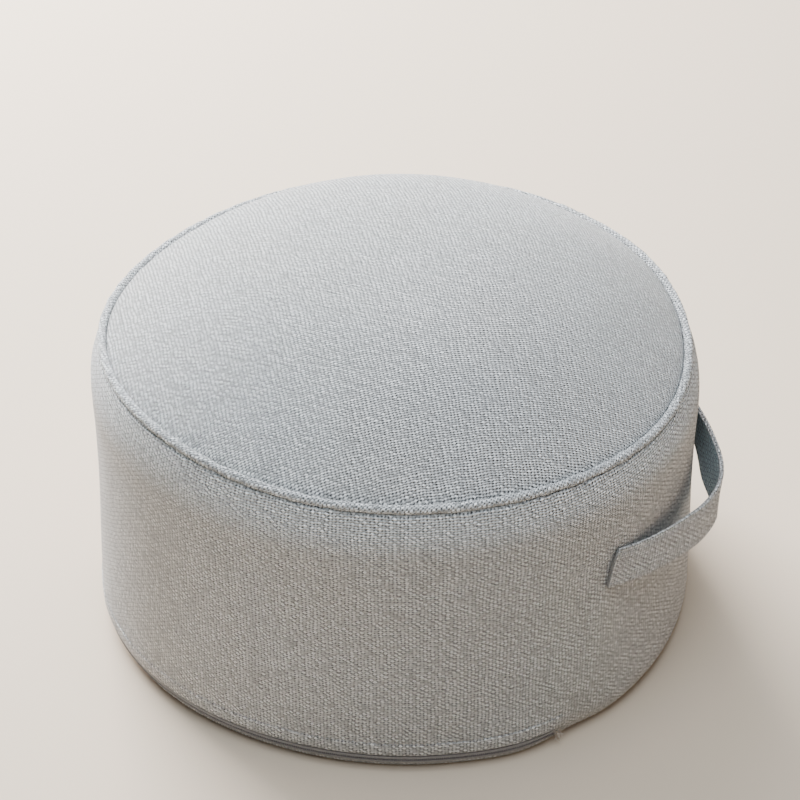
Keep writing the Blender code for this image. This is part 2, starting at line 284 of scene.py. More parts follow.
@dataclass(frozen=True)
class PoufForm:
    """The filled pouf's outer form, with the driving sizes of its solids."""

    seam_radius: float = 0.200
    seam_height: float = 0.2273
    crown_rise: float = 0.0700
    crown_power: float = 2.4
    cloth: float = 0.0016
    gap: float = 0.0003
    piping_radius: float = 0.0030
    seam_radius_waves: tuple[Wave, ...] = (
        Wave(1, 0.0021, -82.0), Wave(2, 0.0017, 14.0), Wave(3, 0.0021, -24.0))
    seam_height_waves: tuple[Wave, ...] = (
        Wave(1, 0.0071, -104.0), Wave(2, 0.0029, 59.0), Wave(3, 0.0011, -21.0), Wave(4, 0.0018, 51.0))
    base_waves: tuple[Wave, ...] = (Wave(2, 0.0068, 37.0), Wave(3, 0.0038, -38.0))
    base_swells: tuple[Swell, ...] = (Swell(-44.0, 8.0, 0.0022), Swell(-30.0, 6.0, -0.0032))
    base_swell_fade: float = 0.035
    seam_swells: tuple[Swell, ...] = (Swell(69.0, 16.0, -0.0025),)
    # The side's mean profile: shares of the seam's height, and the radius at each.
    side_shares: tuple[float, ...] = (
        0.00, 0.02, 0.04, 0.07, 0.14, 0.30, 0.50, 0.70, 0.80, 0.87, 0.91, 0.95, 1.00)
    side_radii: tuple[float, ...] = (
        0.2000, 0.2032, 0.2056, 0.2073, 0.2076, 0.2073, 0.2068,
        0.2074, 0.2084, 0.2088, 0.2081, 0.2057, 0.2018)
    rim_dip: float = 0.0008
    rim_dip_reach: float = 0.008
    lip_angle: float = -52.0
    rim_angle: float = 168.0
    zip_from: float = -159.0
    zip_to: float = -35.0
    zip_recess: float = 0.0022
    zip_fade: float = 4.0
    hem_edge: float = 0.0160
    hem_top: float = 0.0268
    base_corner: float = 0.0085
    base_rim_top: float = 0.0036
    base_rim_inset: float = 0.0006

    def seam(self, azimuth: Array) -> tuple[Array, Array]:
        """Follow the seam round the pouf.

        Args:
            azimuth: where to read it.

        Returns:
            The radius and height of the piping's centre.
        """
        uneven_ring = sum_waves(self.seam_radius_waves, azimuth)
        radius = self.seam_radius + uneven_ring + sum_swells(self.seam_swells, azimuth)
        return radius, self.seam_height + sum_waves(self.seam_height_waves, azimuth)

    def side_radius(self, azimuth: Array, height: Array) -> Array:
        """Find the side's outer face.

        Args:
            azimuth: where to read it.
            height: the height there.

        Returns:
            Its radius.
        """
        seam_r, seam_h = self.seam(azimuth)
        share = np.clip(height / seam_h, 0.0, 1.0)
        mean = through_table(np.array(self.side_shares), np.array(self.side_radii), share)
        waves = share * (seam_r - self.seam_radius) + (1.0 - share) * sum_waves(self.base_waves, azimuth)
        return mean + waves + np.exp(-height / self.base_swell_fade) * sum_swells(self.base_swells, azimuth)

    def crown_height(self, azimuth: Array, radius: Array) -> Array:
        """Find the crown's outer face.

        Args:
            azimuth: where to read it.
            radius: the radius there.

        Returns:
            Its height.
        """
        seam_r, seam_h = self.seam(azimuth)
        share = radius / seam_r
        dip = self.rim_dip * np.exp((radius - seam_r) / self.rim_dip_reach)
        level = self.seam_height + (seam_h - self.seam_height) * share ** 2
        return level + self.crown_rise * (1.0 - share ** self.crown_power) - dip

    def crown_middle(self) -> float:
        """Return the height of the crown's middle."""
        return self.crown_height(np.zeros(1), np.zeros(1))[0]

    def beside_cord(self, azimuth: Array, angle: float, distance: float) -> tuple[Array, Array]:
        """Find a point beside the piping's centre.

        Args:
            azimuth: where on the ring.
            angle: the way to the point round the cord, in degrees, from straight out towards straight up.
            distance: how far off the centre it lies.

        Returns:
            Its radius and height.
        """
        seam_r, seam_h = self.seam(azimuth)
        turn = math.radians(angle)
        return seam_r + distance * math.cos(turn), seam_h + distance * math.sin(turn)

    def lip(self, azimuth: Array) -> tuple[Array, Array]:
        """Return the radius and height where the side's cloth turns in under the piping."""
        return self.beside_cord(azimuth, self.lip_angle, self.piping_radius + self.gap)

    def at_zip(self, azimuth: Array) -> Array:
        """Tell where the zip runs.

        Args:
            azimuth: where to read it.

        Returns:
            1 along the zip, fading to 0 just past its ends.
        """
        turn = turn_between(azimuth, 0.0)
        started = smooth_step(turn, self.zip_from - self.zip_fade, self.zip_from)
        return started * (1.0 - smooth_step(turn, self.zip_to, self.zip_to + self.zip_fade))


@dataclass(frozen=True)
class PlainWeave:
    """Plain-weave upholstery cloth of slubby cotton and polyester yarn, woven one over, one under.

    Each crossing is a small matte pillow of fibres, dark pits open where four crossings meet, painted with
    shade, and thick and thin places in the yarn show as speckle and faint streaks. Its fuzz pales it at a
    glancing angle, so it has a weak sheen and no gloss. The thread spacing is the real one.
    """

    name: str
    crest: str
    crest_warm: str
    # The pits' colour: painted shade where the threads part.
    pit: str
    across_mm: float = 2.5
    along_mm: float = 1.77
    grain_deg: float = 0.0
    relief_mm: float = 0.75
    drift: float = 0.62
    slant: float = 0.35
    # Weft floats painted lighter than warp floats: a painted highlight where level weft crests catch light
    # from above.
    weft_lead: float = 0.20
    streaks: float = 0.34
    speckle: float = 0.34
    fibres: float = 0.14
    sheen: float = 0.55
    # How sharply one thread gives way to the other, how far the noise jumps from yarn to yarn, and how
    # fast it runs along them.
    crossing_slope: float = 1.6
    yarns_apart: tuple[float, float] = (13.37, 7.91)
    slubs: tuple[float, float] = (0.13, 0.09)
    pit_power: float = 0.95
    pit_least: float = 0.45
    pit_spread: float = 2.2
    fibre_relief: float = 0.25
    # For each set of fibres: how fine they are along u and along v, and how far they twist, in radians.
    # Real fibres are far finer. They are drawn this coarse so that they show.
    fibres_u: tuple[float, float, float] = (7.0, 1.2, 0.35)
    fibres_v: tuple[float, float, float] = (1.6, 5.5, -0.35)
    patches_per_metre: float = 14.0
    wander_per_metre: float = 42.0
    roughness: float = 0.93
    specular: float = 0.25
    sheen_roughness: float = 0.45
    # A painted highlight on the shoulder under the piping, for the light its upward tilt catches; empty for
    # none.
    shoulder_highlight: str = ""
    shoulder_from: float = 0.190
    shoulder_to: float = 0.212

    def material(self) -> bpy.types.Material:
        """Make the cloth's material.

        Returns:
            The material, which reads the piece's own UV map in metres of cloth.
        """
        material, tree, shader = start_material(self.name, {
            "Roughness": self.roughness, "Specular IOR Level": self.specular,
            "Sheen Weight": self.sheen, "Sheen Roughness": self.sheen_roughness})
        flat = add_node(tree, "ShaderNodeUVMap", {"uv_map": WEAVE_MAP}).outputs[0]
        found = self._threads(tree, flat)
        self._add_maths(tree, found, (
            ("turn_u", "MULTIPLY", "u", math.pi), ("sin_u", "SINE", "turn_u"),
            ("twice_u", "MULTIPLY", "u", 2.0 * math.pi), ("lean_u", "SINE", "twice_u"),
            ("leaned_v", "MULTIPLY_ADD", "lean_u", -self.slant / (2.0 * math.pi), "v"),
            ("turn_v", "MULTIPLY", "leaned_v", math.pi), ("sin_v", "SINE", "turn_v"),
            ("round_u", "ABSOLUTE", "sin_u"), ("round_v", "ABSOLUTE", "sin_v"),
            ("sign_u", "SIGN", "sin_u"), ("sign_v", "SIGN", "sin_v"),
            ("arch_u", "MULTIPLY", "sign_u", "sin_v"), ("arch_v", "MULTIPLY", "sign_v", "sin_u"),
            ("warp", "ADD", "arch_u", "round_u"), ("weft", "SUBTRACT", "round_v", "arch_v"),
            ("top", "MAXIMUM", "warp", "weft"),
            ("lead", "SUBTRACT", "warp", "weft"), ("steep", "MULTIPLY_ADD", "lead", self.crossing_slope, 0.5),
            ("not_low", "MAXIMUM", "steep", 0.0), ("on_top", "MINIMUM", "not_low", 1.0),
            ("cell_u", "FLOOR", "u"), ("cell_v", "FLOOR", "leaned_v"),
            ("corner_u", "ROUND", "u"), ("corner_v", "ROUND", "leaned_v"),
            ("apart_u", "MULTIPLY", "cell_u", self.yarns_apart[0]),
            ("apart_v", "MULTIPLY", "cell_v", self.yarns_apart[1]),
            ("slow_u", "MULTIPLY", "u", self.slubs[0]), ("slow_v", "MULTIPLY", "v", self.slubs[1]),
            ("off_u", "SUBTRACT", 1.0, "round_u"), ("off_v", "SUBTRACT", 1.0, "round_v"),
            ("between", "MULTIPLY", "off_u", "off_v"), ("hole", "POWER", "between", self.pit_power),
        ))
        for name, kind, first, second in (
                ("yarn_u", "ShaderNodeTexNoise", "apart_u", "slow_v"),
                ("yarn_v", "ShaderNodeTexNoise", "slow_u", "apart_v"),
                ("cell", "ShaderNodeTexWhiteNoise", "cell_u", "cell_v"),
                ("open", "ShaderNodeTexWhiteNoise", "corner_u", "corner_v")):
            place = add_node(tree, "ShaderNodeCombineXYZ", None, {0: found[first], 1: found[second]})
            noise = add_node(tree, kind, {"noise_dimensions": "2D"}, {"Vector": place.outputs[0]})
            found[name] = noise.outputs[0]
            if kind == "ShaderNodeTexNoise":
                noise.inputs["Scale"].default_value = 1.0
        self._add_maths(tree, found, (
            ("yarn_lead", "SUBTRACT", "yarn_u", "yarn_v"),
            ("yarn", "MULTIPLY_ADD", "yarn_lead", "on_top", "yarn_v"),
            ("fibre_lead", "SUBTRACT", "fibre_u", "fibre_v"),
            ("fibre", "MULTIPLY_ADD", "fibre_lead", "on_top", "fibre_v"),
            ("thick", "MULTIPLY_ADD", "yarn", 2.0 * self.streaks, 1.0 - self.streaks),
            ("spot", "MULTIPLY_ADD", "cell", 2.0 * self.speckle, 1.0 - self.speckle),
            ("fuzz", "MULTIPLY_ADD", "fibre", 2.0 * self.fibres, 1.0 - self.fibres),
            ("system", "MULTIPLY_ADD", "on_top", -2.0 * self.weft_lead, 1.0 + self.weft_lead),
            ("tone_1", "MULTIPLY", "thick", "spot"), ("tone_2", "MULTIPLY", "tone_1", "fuzz"),
            ("tone", "MULTIPLY", "tone_2", "system"),
            ("width", "MULTIPLY_ADD", "open", self.pit_spread, self.pit_least),
            ("pit", "MULTIPLY", "hole", "width"), ("dark", "MINIMUM", "pit", 1.0),
            ("lift_1", "MULTIPLY", "top", "thick"),
            ("lift_2", "MULTIPLY_ADD", "fibre", self.fibre_relief, "lift_1"),
            ("raised", "SUBTRACT", "lift_2", "pit"),
        ))
        patches = add_node(tree, "ShaderNodeTexNoise", {"noise_dimensions": "2D"},
                           {"Vector": flat, "Scale": self.patches_per_metre, "Detail": 3.0})
        crest = add_node(tree, "ShaderNodeMix", {"data_type": "RGBA"}, {
            0: patches.outputs[0], 6: linear_colour(self.crest), 7: linear_colour(self.crest_warm)})
        # The shoulder's painted highlight goes into the cloth's colour here.
        cloth = self._paint_shoulder_highlight(tree, flat, crest.outputs[2]) if self.shoulder_highlight else crest.outputs[2]
        woven = add_node(tree, "ShaderNodeMix", {"data_type": "RGBA"}, {
            0: found["dark"], 6: cloth, 7: linear_colour(self.pit)})
        toned = add_node(tree, "ShaderNodeVectorMath", {"operation": "SCALE"},
                         {0: woven.outputs[2], "Scale": found["tone"]})
        bump = add_node(tree, "ShaderNodeBump", None, {
            "Strength": 1.0, "Distance": self.relief_mm * MILLIMETRE, "Height": found["raised"]})
        tree.links.new(toned.outputs[0], shader.inputs["Base Color"])
        tree.links.new(bump.outputs[0], shader.inputs["Normal"])
        return material

    def _paint_shoulder_highlight(
        self, tree: bpy.types.NodeTree, flat: bpy.types.NodeSocket, cloth: bpy.types.NodeSocket,
    ) -> bpy.types.NodeSocket:
        """Paint a paler, bluer highlight on the shoulder under the piping, for the light from above.

        Args:
            tree: the material's node tree.
            flat: the UV map in metres, whose Y is the height.
            cloth: the cloth's colour.

        Returns:
            The colour with the painted highlight on its shoulder.
        """
        parts = add_node(tree, "ShaderNodeSeparateXYZ", None, {0: flat})
        share = add_node(tree, "ShaderNodeMapRange", {"interpolation_type": "SMOOTHSTEP"}, {
            0: parts.outputs["Y"], 1: self.shoulder_from, 2: self.shoulder_to})
        mixed = add_node(tree, "ShaderNodeMix", {"data_type": "RGBA"}, {
            0: share.outputs[0], 6: cloth, 7: linear_colour(self.shoulder_highlight)})
        return mixed.outputs[2]

    def _threads(self, tree: bpy.types.NodeTree, flat: bpy.types.NodeSocket) -> dict[str, Any]:
        """Count the threads across the cloth, and lay fibres along them.

        Args:
            tree: the material's node tree.
            flat: the UV map in metres.

        Returns:
            Sockets by name: u and v count the threads, fibre_u and fibre_v are the fibres of each set.
        """
        wander = add_node(tree, "ShaderNodeTexNoise", {"noise_dimensions": "2D"},
                          {"Vector": flat, "Scale": self.wander_per_metre, "Detail": 3.0, "Roughness": 0.75})
        centred = add_node(tree, "ShaderNodeVectorMath", {"operation": "SUBTRACT"},
                           {0: wander.outputs["Color"], 1: (0.5, 0.5, 0.5)})
        threads = add_node(tree, "ShaderNodeMapping", {"vector_type": "TEXTURE"}, {
            "Vector": flat, "Rotation": (0.0, 0.0, math.radians(self.grain_deg)),
            "Scale": (self.across_mm * MILLIMETRE, self.along_mm * MILLIMETRE, 1.0)})
        bent = add_node(tree, "ShaderNodeVectorMath", {"operation": "MULTIPLY_ADD"}, {
            0: centred.outputs[0], 1: (2.0 * self.drift, 3.0 * self.drift, 0.0), 2: threads.outputs[0]})
        parts = add_node(tree, "ShaderNodeSeparateXYZ", None, {0: bent.outputs[0]})
        found = {"u": parts.outputs["X"], "v": parts.outputs["Y"]}
        for name, (fine_u, fine_v, twist) in (("fibre_u", self.fibres_u), ("fibre_v", self.fibres_v)):
            spun = add_node(tree, "ShaderNodeMapping", None, {
                "Vector": bent.outputs[0], "Rotation": (0.0, 0.0, twist), "Scale": (fine_u, fine_v, 1.0)})
            fibre = add_node(tree, "ShaderNodeTexNoise", {"noise_dimensions": "2D"},
                             {"Vector": spun.outputs[0], "Scale": 1.0, "Detail": 2.0, "Roughness": 0.7})
            found[name] = fibre.outputs[0]
        return found

    def _add_maths(self, tree: bpy.types.NodeTree, found: dict[str, Any], steps: tuple[tuple, ...]) -> None:
        """Add a chain of sums to a tree.

        Args:
            tree: the material's node tree.
            found: sockets by name, which gets each sum's result.
            steps: each sum's result name, operation and values, by name or as numbers.
        """
        for result, operation, *values in steps:
            links = {i: found.get(value, value) for i, value in enumerate(values)}
            found[result] = add_node(tree, "ShaderNodeMath", {"operation": operation}, links).outputs[0]


@dataclass(frozen=True)
class WovenTape:
    """Polyester zip tape, woven close and dyed grey, so it is smooth and dull with a fine rib across it."""

    name: str = "dyed_polyester_zip_tape"
    colour: str = "A9A9AC"
    # The colour between the ribs: painted shade in the grooves.
    groove: str = "85858A"
    # The real rib is about half as wide. It is drawn this coarse so that it shows.
    rib_mm: float = 0.9
    rib_relief_mm: float = 0.2
    rib_strength: float = 0.7
    rib_wobble: float = 0.6
    roughness: float = 0.82
    sheen: float = 0.15

    def material(self) -> bpy.types.Material:
        """Make the tape's material.

        Returns:
            The material, ribbed along the piece's own UV map.
        """
        material, tree, shader = start_material(
            self.name, {"Roughness": self.roughness, "Sheen Weight": self.sheen})
        flat = add_node(tree, "ShaderNodeUVMap", {"uv_map": WEAVE_MAP}).outputs[0]
        ribs = add_node(tree, "ShaderNodeTexWave", {"wave_type": "BANDS", "bands_direction": "X"}, {
            "Vector": flat, "Scale": math.pi / (10.0 * self.rib_mm * MILLIMETRE),
            "Distortion": self.rib_wobble, "Detail": 1.0, "Detail Scale": 3.0})
        colour = add_node(tree, "ShaderNodeMix", {"data_type": "RGBA"}, {
            0: ribs.outputs[1], 6: linear_colour(self.groove), 7: linear_colour(self.colour)})
        bump = add_node(tree, "ShaderNodeBump", None, {
            "Strength": self.rib_strength, "Distance": self.rib_relief_mm * MILLIMETRE,
            "Height": ribs.outputs[1]})
        tree.links.new(colour.outputs[2], shader.inputs["Base Color"])
        tree.links.new(bump.outputs[0], shader.inputs["Normal"])
        return material


@dataclass(frozen=True)
class Filament:
    """A fine round strand: a drawn nylon filament, or yarn spun from many fibres.

    Nylon comes smooth from its die and keeps a soft gleam, while spun yarn is rough and dull.
    """

    name: str
    colour: str
    dark: str
    roughness: float
    sheen: float = 0.0
    ior: float = 1.53
    # The fibres and flaws in the strand are far finer. They are drawn this coarse so that they show.
    grain_mm: float = 1.2
    grain_relief_mm: float = 0.1
    grain_strength: float = 0.3

    def material(self) -> bpy.types.Material:
        """Make the strand's material.

        Returns:
            The material, with a faint change of tone along the strand.
        """
        material, tree, shader = start_material(
            self.name, {"Roughness": self.roughness, "IOR": self.ior, "Sheen Weight": self.sheen})
        place = add_node(tree, "ShaderNodeTexCoord").outputs["Object"]
        grain = add_node(tree, "ShaderNodeTexNoise", None, {
            "Vector": place, "Scale": 1.0 / (self.grain_mm * MILLIMETRE), "Detail": 2.0})
        colour = add_node(tree, "ShaderNodeMix", {"data_type": "RGBA"}, {
            0: grain.outputs[0], 6: linear_colour(self.dark), 7: linear_colour(self.colour)})
        bump = add_node(tree, "ShaderNodeBump", None, {
            "Strength": self.grain_strength, "Distance": self.grain_relief_mm * MILLIMETRE,
            "Height": grain.outputs[0]})
        tree.links.new(colour.outputs[2], shader.inputs["Base Color"])
        tree.links.new(bump.outputs[0], shader.inputs["Normal"])
        return material


# The cover's cloth, pulled tight over the crown: its weft sits level with its warp, at a slant to the view.
TOP_CLOTH = PlainWeave("plain_weave_cloth_top", crest="E7EAED", crest_warm="E8E8E6", pit="2E3338",
                       grain_deg=35.0, along_mm=1.62, weft_lead=0.12)

# The same cloth round the side, hung straight. Its shoulder gets a paler painted highlight for the light from
# above.
SIDE_CLOTH = PlainWeave("plain_weave_cloth_side", crest="E3E3E2", crest_warm="E4E1DC", pit="30343A",
                        shoulder_highlight="EFF3F6")

# The same cloth under the pouf, flat and without the painted highlight on the shoulder.
BASE_CLOTH = PlainWeave("plain_weave_cloth_base", crest="E3E3E2", crest_warm="E4E1DC", pit="30343A")

# A strip of the cloth cut on the bias and wrapped round a cord, so its threads run slantwise and bunch up.
PIPING_CLOTH = PlainWeave("plain_weave_cloth_on_the_bias", crest="D9DDE1", crest_warm="D6D8D8", pit="2E3338",
                          grain_deg=45.0, relief_mm=0.5, speckle=0.42, streaks=0.4)

# The cloth folded to the middle and pressed, which keeps its weave.
STRAP_CLOTH = PlainWeave("plain_weave_cloth_folded", crest="E3E5E7", crest_warm="E3E2DF", pit="34393E")

# The strap's inner face: the cloth with a shallow weave, painted darker and bluer as painted shade for the
# shade it sits in.
STRAP_INSIDE_SHADE = PlainWeave("plain_weave_cloth_strap_inside_painted_shade", crest="93A3AB", crest_warm="8E9DA4", pit="2A3035",
                          relief_mm=0.3, sheen=0.2, speckle=0.16, streaks=0.18)

# Polyester tape in its plain grey: dull, with a fine rib across it.
ZIP_TAPE = WovenTape()

# Nylon drawn and wound to a coil, dyed grey: smooth, with a soft gleam on each tooth.
NYLON_COIL = Filament("nylon_zip_coil", colour="7E7E83", dark="5C5C62", roughness=0.38)

# Loose cotton yarn at a cut end: untwisted, pale and fuzzy.
FRAYED_YARN = Filament("frayed_cotton_yarn", colour="E9DFD2", dark="C9BBA9", roughness=0.85, sheen=0.4)

# Sewing thread spun from polyester staple: a little darker than the cloth, and dull.
SEWING_THREAD = Filament("spun_polyester_thread", colour="C9CFD4", dark="A9AFB5", roughness=0.7, sheen=0.2)


def grid_mesh(
    name: str,
    points: Array,
    cloth: Array,
    closing: Closing = Closing.ROUND,
    poles: tuple[Array | None, Array | None] = (None, None),
) -> bpy.types.Mesh:
    """Make a mesh from a grid of points, with its UV map in metres of cloth.

    Args:
        name: the mesh's name.
        points: rows by columns by 3.
        cloth: the UV map, one more row or column than the points where the grid closes that way.
        closing: which way the grid closes on itself.
        poles: a point that closes the grid before its first row, and one after its last.

    Returns:
        The mesh, with open ends of a closed section capped.
    """
    rows, columns = points.shape[:2]
    vertices = points.reshape(-1, 3).tolist()
    i, j = np.meshgrid(np.arange(rows - 1 if closing is Closing.ROUND else rows),
                       np.arange(columns - 1 if closing is Closing.TUBE else columns), indexing="ij")
    i, j = i.ravel(), j.ravel()
    corners = ((i, j), (i, j + 1), (i + 1, j + 1), (i + 1, j))
    faces = np.stack([(a % rows) * columns + b % columns for a, b in corners], -1).tolist()
    flat = np.stack([cloth[a, b] for a, b in corners], 1).reshape(-1, 2).tolist()
    for pole, row, flip in ((poles[0], 0, True), (poles[1], rows - 1, False)):
        if pole is None:
            continue
        vertices.append(list(pole))
        for b in range(columns):
            near, far = row * columns + b, row * columns + (b + 1) % columns
            ends = (far, near) if flip else (near, far)
            faces.append([ends[0], ends[1], len(vertices) - 1])
            marks = (cloth[row, b + 1], cloth[row, b]) if flip else (cloth[row, b], cloth[row, b + 1])
            flat += [list(marks[0]), list(marks[1]), list(pole[:2])]
    if closing is Closing.TUBE:
        for column, order in ((0, range(rows)), (columns - 1, range(rows - 1, -1, -1))):
            faces.append([k * columns + column for k in order])
            flat += [list(cloth[k, column]) for k in order]
    mesh = bpy.data.meshes.new(name)
    mesh.from_pydata(vertices, [], faces)
    uv = mesh.uv_layers.new(name=WEAVE_MAP)
    uv.data.foreach_set("uv", np.array(flat, np.float32).ravel())
    mesh.shade_smooth()
    return mesh


def add_piece(name: str, mesh: bpy.types.Mesh, material: bpy.types.Material) -> bpy.types.Object:
    """Put a mesh in the scene as a piece with one material.

    Args:
        name: the piece's name.
        mesh: its mesh, in place.
        material: its finish.

    Returns:
        The piece's object, at the origin.
    """
    piece = bpy.data.objects.new(name, mesh)
    mesh.materials.clear()
    mesh.materials.append(material)
    bpy.context.scene.collection.objects.link(piece)
    log.info("%s: %d faces", name, len(mesh.polygons))
    return piece


@dataclass(frozen=True)
class Repeat:
    """One small rounded shape, such as a stitch or a tooth, repeated along a path."""

    spacing: float
    length: float
    width: float
    height: float
    turn_deg: float = 0.0
    jitter: float = 0.0
    seed: int = 1
    segments: int = 8
    rings: int = 5

    def _tree(self, material: bpy.types.Material) -> bpy.types.NodeTree:
        """Build the Geometry Nodes tree.

        Args:
            material: what the shapes are made of.

        Returns:
            The tree, whose inputs are the sizes, the turn and the seed.
        """
        tree = bpy.data.node_groups.new("repeat_on_path", "GeometryNodeTree")
        face = tree.interface
        face.new_socket("Geometry", in_out="INPUT", socket_type="NodeSocketGeometry")
        for name in ("Spacing", "Length", "Width", "Height", "Turn", "Jitter"):
            face.new_socket(name, in_out="INPUT", socket_type="NodeSocketFloat")
        face.new_socket("Seed", in_out="INPUT", socket_type="NodeSocketInt")
        face.new_socket("Geometry", in_out="OUTPUT", socket_type="NodeSocketGeometry")
        given = add_node(tree, "NodeGroupInput").outputs
        curve = add_node(tree, "GeometryNodeMeshToCurve", None, {"Mesh": given["Geometry"]})
        points = add_node(tree, "GeometryNodeCurveToPoints", {"mode": "LENGTH"},
                          {"Curve": curve.outputs[0], "Length": given["Spacing"]})
        out = add_node(tree, "GeometryNodeInputNamedAttribute", {"data_type": "FLOAT_VECTOR"},
                       {"Name": OUT_ATTRIBUTE})
        facing = add_node(tree, "FunctionNodeAxesToRotation", {"primary_axis": "Z", "secondary_axis": "X"},
                          {0: out.outputs[0], 1: points.outputs["Tangent"]})
        twist = add_node(tree, "FunctionNodeAxisAngleToRotation", None,
                         {"Axis": (0.0, 0.0, 1.0), "Angle": given["Turn"]})
        turned = add_node(tree, "FunctionNodeRotateRotation", {"rotation_space": "LOCAL"},
                          {0: facing.outputs[0], 1: twist.outputs[0]})
        less = add_node(tree, "ShaderNodeMath", {"operation": "SUBTRACT"}, {0: 1.0, 1: given["Jitter"]})
        more = add_node(tree, "ShaderNodeMath", {"operation": "ADD"}, {0: 1.0, 1: given["Jitter"]})
        chance = add_node(tree, "FunctionNodeRandomValue", {"data_type": "FLOAT"}, {
            2: less.outputs[0], 3: more.outputs[0], "Seed": given["Seed"]})
        size = add_node(tree, "ShaderNodeCombineXYZ", None, {
            0: given["Length"], 1: given["Width"], 2: given["Height"]})
        varied = add_node(tree, "ShaderNodeVectorMath", {"operation": "SCALE"},
                          {0: size.outputs[0], "Scale": chance.outputs[1]})
        shape = add_node(tree, "GeometryNodeMeshUVSphere", None,
                         {"Segments": self.segments, "Rings": self.rings, "Radius": 0.5})
        placed = add_node(tree, "GeometryNodeInstanceOnPoints", None, {
            "Points": points.outputs["Points"], "Instance": shape.outputs["Mesh"],
            "Rotation": turned.outputs[0], "Scale": varied.outputs[0]})
        real = add_node(tree, "GeometryNodeRealizeInstances", None, {0: placed.outputs[0]})
        smooth = add_node(tree, "GeometryNodeSetShadeSmooth", None, {0: real.outputs[0]})
        dressed = add_node(tree, "GeometryNodeSetMaterial", None, {
            "Geometry": smooth.outputs[0], "Material": material})
        add_node(tree, "NodeGroupOutput", None, {0: dressed.outputs[0]})
        return tree

    def build(self, name: str, path: Array, outward: Array, material: bpy.types.Material) -> bpy.types.Object:
        """Repeat the shape along a path.

        Args:
            name: the piece's name.
            path: the path's points.
            outward: at each point, the direction that the shape's top faces.
            material: what the shapes are made of.

        Returns:
            The piece, as a plain mesh.
        """
        line = bpy.data.meshes.new(name + "_path")
        line.from_pydata(path.tolist(), [(k, k + 1) for k in range(len(path) - 1)], [])
        facing = line.attributes.new(OUT_ATTRIBUTE, "FLOAT_VECTOR", "POINT")
        facing.data.foreach_set("vector", np.ascontiguousarray(outward, np.float32).ravel())
        carrier = bpy.data.objects.new(name + "_path", line)
        bpy.context.scene.collection.objects.link(carrier)
        modifier = carrier.modifiers.new("repeat", "NODES")
        modifier.node_group = self._tree(material)
        values = {"Spacing": self.spacing, "Length": self.length, "Width": self.width, "Height": self.height,
                  "Turn": math.radians(self.turn_deg), "Jitter": self.jitter, "Seed": self.seed}
        for item in modifier.node_group.interface.items_tree:
            if item.in_out == "INPUT" and item.name in values:
                modifier[item.identifier] = values[item.name]
        graph = bpy.context.evaluated_depsgraph_get()
        mesh = bpy.data.meshes.new_from_object(carrier.evaluated_get(graph))
        mesh.name = name
        bpy.data.objects.remove(carrier)
        return add_piece(name, mesh, material)


class Folds(NamedTuple):
    """How far the filling's pressure lifts the cloth off the plain form, as nets round the pouf."""

    side: Array
    top: Array


